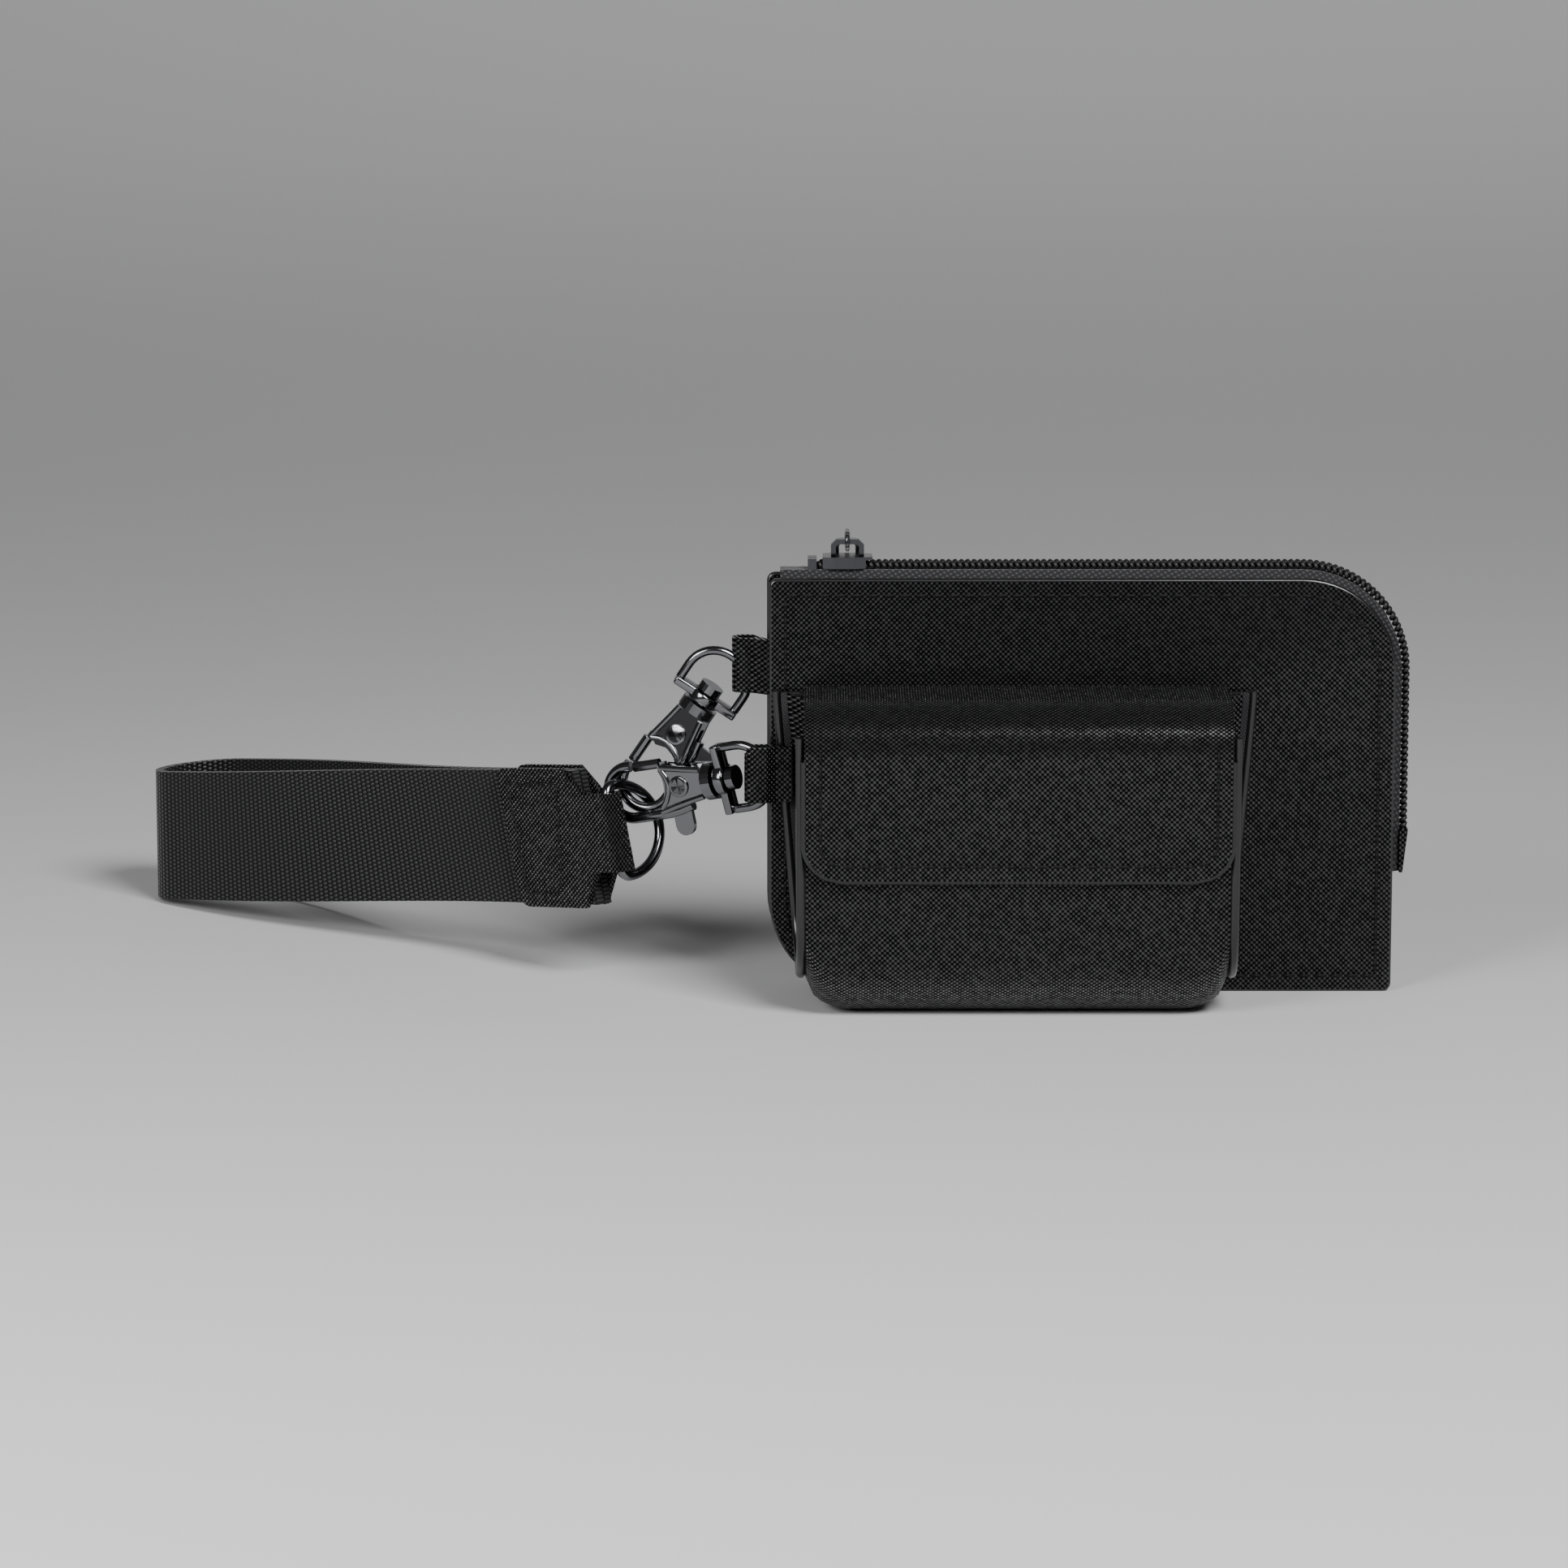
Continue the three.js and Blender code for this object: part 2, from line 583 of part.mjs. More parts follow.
// ---- Pouch ----
const POUCH_FRONT = POUCH_BACK - POUCH_DEPTH;
const POUCH_RIGHT = POUCH_LEFT + POUCH_WIDTH;
const SHELL_FRONT = POUCH_FRONT + POUCH_LEATHER + FLAP_GAP;
const BOTTOM_RADIUS = Math.min(POUCH_BOTTOM_RADIUS, (POUCH_BACK - SHELL_FRONT) / 2 - WELT_GAP);
const POUCH_TOP = POUCH_FLOOR_GAP + POUCH_HEIGHT;

// The wrap's section: back wall, rounded bottom and front wall, moved in by an inset.
function wrapSection(inset, thickness, backTop, frontTop) {
  const y0 = SHELL_FRONT + inset;
  const y1 = POUCH_BACK - inset;
  const z0 = POUCH_FLOOR_GAP + inset;
  const r = BOTTOM_RADIUS - inset;
  const shape = new THREE.Shape();
  shape.moveTo(y0, frontTop);
  shape.lineTo(y0, z0 + r);
  shape.absarc(y0 + r, z0 + r, r, Math.PI, Math.PI * 1.5, false);
  shape.lineTo(y1 - r, z0);
  shape.absarc(y1 - r, z0 + r, r, -Math.PI / 2, 0, false);
  shape.lineTo(y1, backTop);
  shape.lineTo(y1 - thickness, backTop);
  shape.lineTo(y1 - thickness, z0 + r);
  shape.absarc(y1 - r, z0 + r, r - thickness, 0, -Math.PI / 2, true);
  shape.lineTo(y0 + r, z0 + thickness);
  shape.absarc(y0 + r, z0 + r, r - thickness, Math.PI * 1.5, Math.PI, true);
  shape.lineTo(y0 + thickness, frontTop);
  return shape;
}

// A slab in plan whose two ends slant in from the wide back to the narrow front.
function taperSlab(inset, z0, z1) {
  const run = POUCH_BACK - SHELL_FRONT;
  const lean = POUCH_FLARE / run;
  const yBack = POUCH_BACK + 5;
  const yFront = POUCH_FRONT - 5;
  const xAt = (y) => (POUCH_BACK - y) * lean;
  return flat(polygon([
    [POUCH_LEFT + inset + xAt(yFront), yFront], [POUCH_RIGHT - inset - xAt(yFront), yFront],
    [POUCH_RIGHT - inset - xAt(yBack), yBack], [POUCH_LEFT + inset + xAt(yBack), yBack]]), z0, z1);
}

const FLAP_LINE = POUCH_TOP - POUCH_LEATHER - FLAP_HINGE_GAP;

function makePouchBody() {
  const wrapOutline = wrapSection(0, POUCH_LEATHER, FLAP_LINE, POUCH_FRONT_HEIGHT);
  const wrap = along(wrapOutline, POUCH_LEFT - 2, POUCH_RIGHT + 2, 5);
  place('pouch_shell', common(wrap, taperSlab(0, -5, POUCH_TOP + 5)), leatherFinish);
  const liningOutline = wrapSection(
    POUCH_LEATHER, POUCH_LINING, FLAP_LINE - LINING_DROP, POUCH_FRONT_HEIGHT - LINING_DROP);
  const liningWrap = along(liningOutline, POUCH_LEFT, POUCH_RIGHT, 5);
  const liningRoom = taperSlab(GUSSET_INSET + GUSSET + LINING_SIDE_GAP, -5, POUCH_TOP + 5);
  place('pouch_lining', common(liningWrap, liningRoom), liningFinish);

  const skin = POUCH_LEATHER;
  const y0 = SHELL_FRONT + skin;
  const y1 = POUCH_BACK - skin;
  const z0 = POUCH_FLOOR_GAP + skin;
  const r = BOTTOM_RADIUS - skin;
  const sideShape = roundedOutline(
    y0, y1, z0, POUCH_FRONT_HEIGHT + GUSSET_ABOVE_FRONT, { bl: r, br: r, tr: 0.5, tl: 0.5 });
  const sideBlock = along(sideShape, POUCH_LEFT - 2, POUCH_RIGHT + 2, 5);
  const sides = toSolid(sideBlock)
    .intersect(toSolid(taperSlab(GUSSET_INSET, -5, POUCH_TOP + 5)))
    .subtract(toSolid(taperSlab(GUSSET_INSET + GUSSET, -6, POUCH_TOP + 6)));
  const middle = (POUCH_LEFT + POUCH_RIGHT) / 2;
  const leftHalf = toSolid(
    block(POUCH_LEFT - 9, middle, POUCH_FRONT - 9, POUCH_BACK + 9, -9, POUCH_TOP + 9));
  place('pouch_gusset_left', fromSolid(sides.intersect(leftHalf)), leatherFinish);
  place('pouch_gusset_right', fromSolid(sides.subtract(leftHalf)), leatherFinish);

  const magnetBack = SHELL_FRONT - 0.02;
  const disc = (y) => new THREE.CylinderGeometry(
    MAGNET_DIAMETER / 2, MAGNET_DIAMETER / 2, MAGNET_THICKNESS, 20).translate(middle, y, MAGNET_HEIGHT);
  place('flap_magnet', disc(POUCH_FRONT + POUCH_LEATHER + MAGNET_THICKNESS / 2), magnetFinish);
  place('body_magnet',
    disc(magnetBack + POUCH_LEATHER + POUCH_LINING + MAGNET_THICKNESS / 2 + 0.05), magnetFinish);
}

// The flap: a top panel that turns at the back edge and a front panel that bends at the front edge.
function makeFlap() {
  const t = POUCH_LEATHER;
  const r = POUCH_TOP_RADIUS;
  const backFace = POUCH_BACK;
  const frontFace = POUCH_FRONT;
  const bend = POUCH_TOP - r - FLAP_HINGE_GAP;
  const top = new THREE.Shape();
  top.moveTo(backFace, POUCH_TOP - t);
  top.lineTo(backFace - t / 2, POUCH_TOP);
  top.lineTo(frontFace + r, POUCH_TOP);
  top.absarc(frontFace + r, POUCH_TOP - r, r, Math.PI / 2, Math.PI, false);
  top.lineTo(frontFace + t, POUCH_TOP - r);
  top.absarc(frontFace + r, POUCH_TOP - r, r - t, Math.PI, Math.PI / 2, true);
  const half = (POUCH_RIGHT - POUCH_LEFT) / 2 - POUCH_FLARE + FLAP_OVERHANG;
  const middle = (POUCH_LEFT + POUCH_RIGHT) / 2;
  place('pouch_flap_top', along(top, middle - half, middle + half, 6), leatherFinish);
  const front = roundedOutline(
    middle - half, middle + half, POUCH_TOP - FLAP_DROP, bend,
    { bl: FLAP_CORNER, br: FLAP_CORNER, tr: 0.3, tl: 0.3 });
  place('pouch_flap_front', upright(front, frontFace, frontFace + t, 6), leatherFinish);
}

// ---- Leather tabs that hold the clasps' bars ----
// A tab folded into a flat eye: its section in XY reaches left of the edge it is sewn into.
function tabGeometry(edgeX, reach, rootX, rootY, eyeY, height) {
  const hollow = LOOP_WIRE / 2 + TAB_HOLE_PLAY + TAB_SLOPE_PLAY;
  const outer = hollow + TAB_LEATHER;
  const foldX = edgeX - reach + outer;
  const eyeEnd = edgeX - TAB_LEATHER - TAB_CLEARANCE - TAB_LEAN * Math.abs(eyeY - rootY);
  const seamX = edgeX - TAB_CLEARANCE;
  const shape = new THREE.Shape();
  shape.absarc(foldX, eyeY, outer, Math.PI / 2, Math.PI * 1.5, false);
  shape.lineTo(eyeEnd - 0.6, eyeY - outer);
  shape.lineTo(seamX, rootY - TAB_LEATHER);
  shape.lineTo(rootX, rootY - TAB_LEATHER);
  shape.lineTo(rootX, rootY + TAB_LEATHER);
  shape.lineTo(seamX, rootY + TAB_LEATHER);
  shape.lineTo(eyeEnd - 0.6, eyeY + outer);
  const eye = new THREE.Path();
  eye.absarc(foldX, eyeY, hollow, Math.PI * 1.5, Math.PI / 2, true);
  eye.lineTo(eyeEnd - 0.4, eyeY + hollow);
  eye.lineTo(eyeEnd, eyeY + hollow - 0.6);
  eye.lineTo(eyeEnd, eyeY - hollow + 0.6);
  eye.lineTo(eyeEnd - 0.4, eyeY - hollow);
  shape.holes.push(eye);
  return flat(shape, height - TAB_WIDTH / 2, height + TAB_WIDTH / 2, 6);
}

function makeTabs() {
  const weltCut = block(
    WALLET_LEFT - 0.1, WALLET_LEFT + TAB_TAIL + 0.2, -TAB_LEATHER - 0.1, TAB_LEATHER + 0.1,
    UPPER_TAB_HEIGHT - TAB_WIDTH / 2 - 0.1, UPPER_TAB_HEIGHT + TAB_WIDTH / 2 + 0.1);
  const welt = group.getObjectByName('wallet_edge_welt');
  welt.geometry = cut(welt.geometry, weltCut);
  const walletTab = tabGeometry(
    WALLET_LEFT, UPPER_TAB_REACH, WALLET_LEFT + TAB_TAIL, 0,
    UPPER_BAR.y + TAB_SLOPE_PLAY, UPPER_TAB_HEIGHT);
  place('wallet_tab', walletTab, leatherFinish);
  const rootY = POUCH_BACK - POUCH_LEATHER - TAB_LEATHER - 0.05;
  const pouchTab = tabGeometry(
    POUCH_LEFT, LOWER_TAB_REACH, POUCH_LEFT + GUSSET_INSET - TAB_CLEARANCE, rootY,
    LOWER_BAR.y + TAB_SLOPE_PLAY, LOWER_TAB_HEIGHT);
  place('pouch_tab', pouchTab, leatherFinish);
}

// ---- Clasps ----
// In a clasp's own frame the loop's bar is at the origin along Y, and +X runs to the hook's tip.
function claspGroup(bar, hookAt) {
  const x = hookAt.clone().sub(bar).normalize();
  const behind = new THREE.Vector3(0, 1, 0);
  const z = behind.addScaledVector(x, -behind.dot(x)).normalize();
  const y = z.clone().cross(x);
  const basis = new THREE.Matrix4().makeBasis(x, y, z);
  const clasp = new THREE.Group();
  clasp.position.copy(bar);
  clasp.quaternion.setFromRotationMatrix(basis);
  group.add(clasp);
  return clasp;
}

function loopWire(radius, sides) {
  const path = loopPath(LOOP_LENGTH, LOOP_WIDTH - LOOP_WIRE, LOOP_CORNER, 0.9, 3);
  return sweep(flatStations(path, true), circle(radius, sides), true);
}

function loopGeometry() {
  const wire = loopWire(LOOP_WIRE / 2, 10);
  const near = LOOP_LENGTH - CROSS_THICKNESS / 2;
  const far = LOOP_LENGTH + CROSS_THICKNESS / 2;
  const bar = block(near, far, -CROSS_WIDTH / 2, CROSS_WIDTH / 2, -CROSS_DEPTH / 2, CROSS_DEPTH / 2);
  const boss = rodX(near, far + BOSS_PROUD, BOSS_RADIUS, 0, 0, 24);
  const bore = rodX(near - 2, far + 3, RIVET_RADIUS + RIVET_PLAY, 0, 0, 16);
  return cut(joined(wire, bar, boss), bore);
}

function rivetGeometry() {
  const headEnd = LOOP_LENGTH - CROSS_THICKNESS / 2 - RIVET_PLAY;
  return joined(
    rodX(headEnd - RIVET_HEAD, headEnd, RIVET_HEAD_RADIUS),
    rodX(headEnd - 0.4, CLASP_COLLAR_START + COLLAR / 2 - 0.02, RIVET_RADIUS, 0, 0, 16));
}

const HOOK_MOUTH = CLASP_BODY_START + BODY_LENGTH;
const SPINE = -HOOK_RADIUS;

function hookGeometry() {
  const half = BODY_THICKNESS / 2;
  const narrow = BODY_NARROW / 2;
  const wide = BODY_WIDE / 2;
  const outline = new THREE.Shape();
  outline.moveTo(CLASP_BODY_START - 0.5, narrow);
  outline.lineTo(CLASP_BODY_START - 0.5, -narrow);
  outline.lineTo(HOOK_MOUTH, -wide);
  outline.lineTo(HOOK_MOUTH + 1, SPINE + 0.9);
  outline.quadraticCurveTo(HOOK_MOUTH - 1.6, 0, HOOK_MOUTH, wide - 1);
  outline.lineTo(HOOK_MOUTH, wide);
  const body = flat(outline, -half, half, 6);
  const collar = cut(
    rodX(CLASP_COLLAR_START, CLASP_BODY_START, COLLAR_RADIUS, 0, 0, 24),
    rodX(CLASP_COLLAR_START - 1, CLASP_COLLAR_START + COLLAR / 2, RIVET_RADIUS + 0.02, 0, 0, 16));
  const wirePath = [
    [CLASP_BODY_START + 4, -narrow - 1.1], [HOOK_MOUTH, SPINE + 0.15], [HOOK_CENTRE - 2, SPINE],
    ...arcPoints(HOOK_CENTRE, 0, HOOK_RADIUS, -90, HOOK_TIP_ANGLE, 14),
  ];
  const wire = sweep(flatStations(wirePath), circle(HOOK_WIRE / 2, 10));
  const slotHalf = SLOT_WIDTH / 2;
  const slot = flat(polygon([
    [PIN_AT - HUB_RADIUS - 0.5, 9], [HOOK_MOUTH + 1.4, 9], [HOOK_MOUTH + 1.4, -1.2],
    [PIN_AT + THUMB_WIDTH - 0.5, -1.2], [PIN_AT + THUMB_WIDTH - 0.5, -9], [PIN_AT - 3.3, -9],
    [PIN_AT - 3.3, -2.8], [PIN_AT - HUB_RADIUS - 0.5, -1.4]]), -slotHalf, slotHalf);
  const pinHole = rodZ(PIN_AT, 0, PIN_RADIUS + PIN_PLAY / 2, -5, 5, 16);
  return cut(joined(body, collar, wire), slot, pinHole);
}

function leverGeometry() {
  const plate = new THREE.Shape();
  const thumbLeft = PIN_AT - 0.8;
  const thumbRight = thumbLeft + THUMB_WIDTH;
  const thumbRadius = THUMB_WIDTH / 2;
  plate.moveTo(PIN_AT - HUB_RADIUS, 0);
  plate.lineTo(thumbLeft, -2.4);
  plate.lineTo(thumbLeft, -THUMB_DROP + thumbRadius);
  plate.absarc(
    thumbLeft + thumbRadius, -THUMB_DROP + thumbRadius, thumbRadius, Math.PI, Math.PI * 2, false);
  plate.lineTo(thumbRight, -0.8);
  plate.lineTo(PIN_AT + 4.2, 2.6);
  plate.lineTo(HOOK_MOUTH, HOOK_RADIUS - 1.2);
  plate.lineTo(HOOK_MOUTH, HOOK_RADIUS - 0.2);
  plate.lineTo(PIN_AT + 2, HOOK_RADIUS - 1.2);
  const z0 = -LEVER_PLATE / 2;
  const body = flat(plate, z0, z0 + LEVER_PLATE, 4);
  const gateEnd = HOOK_CENTRE + HOOK_RADIUS * Math.cos(rad(HOOK_TIP_ANGLE)) - GATE_GAP;
  const gate = rodX(HOOK_MOUTH + 0.3, gateEnd, HOOK_WIRE / 2 - 0.05, HOOK_RADIUS - 0.25, 0, 10);
  const bridge = block(
    HOOK_MOUTH - 1, HOOK_MOUTH + 1, HOOK_RADIUS - 0.9, HOOK_RADIUS, z0, z0 + LEVER_PLATE);
  const bore = rodZ(PIN_AT, 0, PIN_RADIUS + PIN_PLAY, -5, 5, 16);
  return cut(joined(body, gate, bridge), bore);
}

// The torsion spring's coil, round the pin between the lever and the body's wall.
function springGeometry() {
  const inner = PIN_RADIUS + PIN_PLAY / 2 + 0.05;
  const outer = inner + SPRING_WIRE * 1.5;
  const near = LEVER_PLATE / 2 + SPRING_PLAY;
  const far = near + SPRING_WIRE;
  const profile = [[inner, near], [outer, near], [outer, far], [inner, far], [inner, near]]
    .map(([r, z]) => new THREE.Vector2(r, z));
  return new THREE.LatheGeometry(profile, 16).rotateX(Math.PI / 2).translate(PIN_AT, 0, 0);
}

function pinGeometry() {
  const half = BODY_THICKNESS / 2 + 0.05;
  const shank = rodZ(PIN_AT, 0, PIN_RADIUS, -half - PIN_HEAD / 2, half + PIN_HEAD / 2, 16);
  const heads = [[-half - PIN_HEAD, -half], [half, half + PIN_HEAD]]
    .map(([z0, z1]) => rodZ(PIN_AT, 0, PIN_HEAD_RADIUS, z0, z1, 20));
  return joined(shank, ...heads);
}

// A tab gives way round the wire of its loop, over the angle the two turn on each other.
function easeTab(tabName, clasp, pivot, swing) {
  const tab = group.getObjectByName(tabName);
  clasp.updateMatrixWorld(true);
  const wire = loopWire(LOOP_WIRE / 2 + TAB_HOLE_PLAY, 8).applyMatrix4(clasp.matrixWorld);
  const axis = pivot.clone().applyMatrix4(clasp.matrixWorld);
  for (let i = 0; i <= EASE_STEPS; i += 1) {
    const room = wire.clone().translate(-axis.x, -axis.y, 0)
      .rotateZ(rad((swing * i) / EASE_STEPS))
      .translate(axis.x, axis.y, 0);
    tab.geometry = cut(tab.geometry, room);
  }
}

// The hook and all it carries are turned on the swivel rivet by the swivel angle.
function makeClasp(name, bar, hookAt, swivel, tab) {
  const clasp = claspGroup(bar, hookAt);
  easeTab(tab.name, clasp, tab.pivot, tab.swing);
  place(`${name}_loop`, loopGeometry(), metalFinish, clasp);
  const turned = new THREE.Group();
  turned.rotateX(rad(swivel));
  clasp.add(turned);
  place(`${name}_swivel_rivet`, rivetGeometry(), metalFinish, turned);
  place(`${name}_hook`, hookGeometry(), metalFinish, turned);
  place(`${name}_lever`, leverGeometry(), metalFinish, turned);
  place(`${name}_lever_pin`, pinGeometry(), metalFinish, turned);
  place(`${name}_lever_spring`, springGeometry(), metalFinish, turned);
}

// ---- D-ring ----
// In the ring's own frame its bar lies along Y at x = 0 and its bow reaches to +X.
const STRAP_OUT = new THREE.Vector3(-Math.cos(rad(STRAP_YAW)), Math.sin(rad(STRAP_YAW)), 0);
const STRAP_SIDE = new THREE.Vector3(0, 0, 1).cross(STRAP_OUT).normalize();
const BAR_UP = STRAP_OUT.clone().multiplyScalar(STRAP_LEAN).add(new THREE.Vector3(0, 0, 1)).normalize();

function makeRing() {
  const half = (RING_WIDTH - RING_WIRE) / 2;
  const depth = RING_DEPTH - RING_WIRE;
  const corner = RING_CORNER;
  const bow = [];
  const steps = 16;
  for (let i = 0; i <= steps; i += 1) {
    const angle = rad(90 - (180 * i) / steps);
    bow.push([corner + (depth - corner) * Math.cos(angle), half * Math.sin(angle)]);
  }
  const path = [
    ...arcPoints(corner, -half + corner, corner, 255, 180, 3),
    ...arcPoints(corner, half - corner, corner, 180, 105, 3),
    ...bow,
  ];
  const ring = new THREE.Group();
  ring.position.copy(RING_AT);
  const y = BAR_UP.clone();
  const yaw = rad(RING_YAW);
  const x = new THREE.Vector3(Math.cos(yaw), -Math.sin(yaw), 0);
  x.addScaledVector(y, -x.dot(y)).normalize();
  ring.quaternion.setFromRotationMatrix(new THREE.Matrix4().makeBasis(x, y, x.clone().cross(y)));
  group.add(ring);
  place('d_ring', sweep(flatStations(path, true), circle(RING_WIRE / 2, 10), true), metalFinish, ring);
}

// ---- Strap ----
// The strap falls evenly from the ring's bar to the floor at its far end.
const STRAP_START = RING_AT.z - STRAP_DROP;
const STRAP_SLOPE = (STRAP_START - WEBBING_WIDTH / 2 - STRAP_FLOOR_GAP) / STRAP_LENGTH;

function strapHeight(distance) {
  return STRAP_START - STRAP_SLOPE * distance;
}

function strapPoint(distance, side) {
  const point = new THREE.Vector3(RING_AT.x, RING_AT.y, 0);
  point.addScaledVector(STRAP_OUT, distance).addScaledVector(STRAP_SIDE, side);
  point.z = strapHeight(distance);
  return point;
}

// The strap leans with the ring's bar in its leather end and stands upright at its far end.
function strapUp(distance) {
  const lean = STRAP_LEAN * (1 - THREE.MathUtils.smoothstep(distance, END_LENGTH, STRAP_LENGTH));
  return STRAP_OUT.clone().multiplyScalar(lean).add(new THREE.Vector3(0, 0, 1)).normalize();
}

function makeWebbing() {
  const start = END_NECK_LENGTH + 1;
  const half = (STRAP_LOOP_WIDTH - WEBBING) / 2;
  const near = WEBBING / 2 + WEBBING_GAP / 2;
  const end = STRAP_LENGTH - WEBBING / 2 - half;
  const steps = 18;
  const plan = [];
  for (let i = 0; i <= steps; i += 1) {
    const part = i / steps;
    const distance = start + (end - start) * part;
    const spread = THREE.MathUtils.smootherstep(distance, END_LENGTH - 4, end);
    plan.push([distance, near + (half - near) * spread]);
  }
  const turn = arcPoints(end, 0, half, 90, -90, 12).slice(1, -1);
  const path = [...plan, ...turn, ...plan.slice().reverse().map(([d, s]) => [d, -s])];
  const stations = path.map(([distance, side], i) => {
    const before = path[Math.max(i - 1, 0)];
    const after = path[Math.min(i + 1, path.length - 1)];
    const at = strapPoint(distance, side);
    const tangent = strapPoint(...after).sub(strapPoint(...before)).normalize();
    const v = strapUp(distance);
    const u = tangent.clone().cross(v).normalize();
    return { at, u, v };
  });
  place('webbing_loop', sweep(stations, rectangle(WEBBING, WEBBING_WIDTH)), webbingFinish);
}

// The leather end: a hairpin round the ring's bar, cut to a neck with slanted shoulders.
function makeStrapEnd() {
  const inside = WEBBING + WEBBING_GAP;
  const outside = inside + END_LEATHER;
  const bore = RING_WIRE / 2 + WEBBING_GAP;
  const nose = bore + END_LEATHER;
  const hairpin = new THREE.Shape();
  hairpin.moveTo(END_NECK_LENGTH, outside);
  hairpin.lineTo(1, nose);
  hairpin.absarc(0, 0, nose, Math.PI / 2, Math.PI * 1.5, false);
  hairpin.lineTo(1, -nose);
  hairpin.lineTo(END_NECK_LENGTH, -outside);
  hairpin.lineTo(END_LENGTH, -outside);
  hairpin.lineTo(END_LENGTH, -inside);
  hairpin.lineTo(END_NECK_LENGTH + 0.4, -inside);
  hairpin.lineTo(bore + 0.5, -bore * 0.7);
  hairpin.absarc(0, 0, bore, -Math.PI / 4, Math.PI / 4, true);
  hairpin.lineTo(bore + 0.5, bore * 0.7);
  hairpin.lineTo(END_NECK_LENGTH + 0.4, inside);
  hairpin.lineTo(END_LENGTH, inside);
  hairpin.lineTo(END_LENGTH, outside);
  const half = WEBBING_WIDTH / 2 + END_MARGIN;
  const upper = half - STRAP_DROP;
  const lower = -half - STRAP_DROP;
  const neck = END_NECK_WIDTH / 2;
  const neckEnd = END_NECK_LENGTH - 1;
  const folded = flat(hairpin, lower - 1, upper + 1, 8);
  const outline = new THREE.Shape();
  outline.moveTo(-nose - 1, neck);
  outline.lineTo(neckEnd, neck);
  outline.lineTo(neckEnd + END_SHOULDER, upper);
  outline.lineTo(END_LENGTH - END_CORNER, upper);
  outline.absarc(END_LENGTH - END_CORNER, upper - END_CORNER, END_CORNER, Math.PI / 2, 0, true);
  outline.lineTo(END_LENGTH, lower + END_CORNER);
  outline.absarc(END_LENGTH - END_CORNER, lower + END_CORNER, END_CORNER, 0, -Math.PI / 2, true);
  outline.lineTo(neckEnd + END_SHOULDER, lower);
  outline.lineTo(neckEnd, -neck);
  outline.lineTo(-nose - 1, -neck);
  const faces = upright(outline, -outside - 2, outside + 2, 4);
  const x = STRAP_OUT.clone().addScaledVector(new THREE.Vector3(0, 0, -1), STRAP_SLOPE).normalize();
  const y = BAR_UP.clone().cross(x).normalize();
  const leaning = new THREE.Matrix4().makeBasis(x, y, BAR_UP).setPosition(RING_AT);
  place('strap_end_leather', common(folded, faces).applyMatrix4(leaning), leatherFinish);
}

makeWalletPanels();
makeWelt();
makeCardPocket();
makeZip();
makeSlider();
makePull();
makePouchBody();
makeFlap();
makeTabs();
// The upper loop hangs in its tab by one of its corners, the lower loop by its bar.
makeClasp('upper_clasp', UPPER_BAR, UPPER_HOOK, UPPER_SWIVEL,
  { name: 'wallet_tab', pivot: new THREE.Vector3(...UPPER_PIVOT), swing: -UPPER_TAB_SWING });
makeClasp('lower_clasp', LOWER_BAR, LOWER_HOOK, LOWER_SWIVEL,
  { name: 'pouch_tab', pivot: new THREE.Vector3(), swing: LOWER_TAB_SWING });
makeRing();
makeWebbing();
makeStrapEnd();

export default group;
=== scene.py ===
"""Wristlet set: an L-zip card wallet, a small flap pouch and a webbing wrist strap on one D-ring."""

import math

import bmesh
import bpy
from mathutils import Matrix, Vector


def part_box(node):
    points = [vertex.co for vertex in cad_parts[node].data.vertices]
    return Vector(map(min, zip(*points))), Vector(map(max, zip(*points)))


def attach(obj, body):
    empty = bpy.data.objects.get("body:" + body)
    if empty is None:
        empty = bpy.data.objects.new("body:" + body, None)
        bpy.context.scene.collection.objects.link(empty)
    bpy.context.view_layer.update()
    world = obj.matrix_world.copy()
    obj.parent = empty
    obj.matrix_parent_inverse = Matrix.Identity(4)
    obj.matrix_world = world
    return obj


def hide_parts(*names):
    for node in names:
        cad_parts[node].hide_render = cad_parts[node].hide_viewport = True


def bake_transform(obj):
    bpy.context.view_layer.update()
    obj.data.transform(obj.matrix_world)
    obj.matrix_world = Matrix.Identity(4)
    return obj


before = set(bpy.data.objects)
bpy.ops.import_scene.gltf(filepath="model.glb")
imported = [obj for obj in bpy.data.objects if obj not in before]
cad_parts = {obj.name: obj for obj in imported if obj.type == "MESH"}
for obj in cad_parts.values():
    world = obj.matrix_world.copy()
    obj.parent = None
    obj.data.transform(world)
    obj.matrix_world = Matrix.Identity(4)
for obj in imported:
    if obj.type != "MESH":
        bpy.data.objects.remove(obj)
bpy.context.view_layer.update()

bl_info = {
    "name": "Wristlet Set",
    "version": (1, 0, 0),
    "blender": (4, 2, 0),
    "location": "View3D > Sidebar > Wristlet",
    "description": "Makes the leather, webbing, zip and hardware of a wristlet set on its packed frame",
    "category": "Add Mesh",
}

MM = 0.001

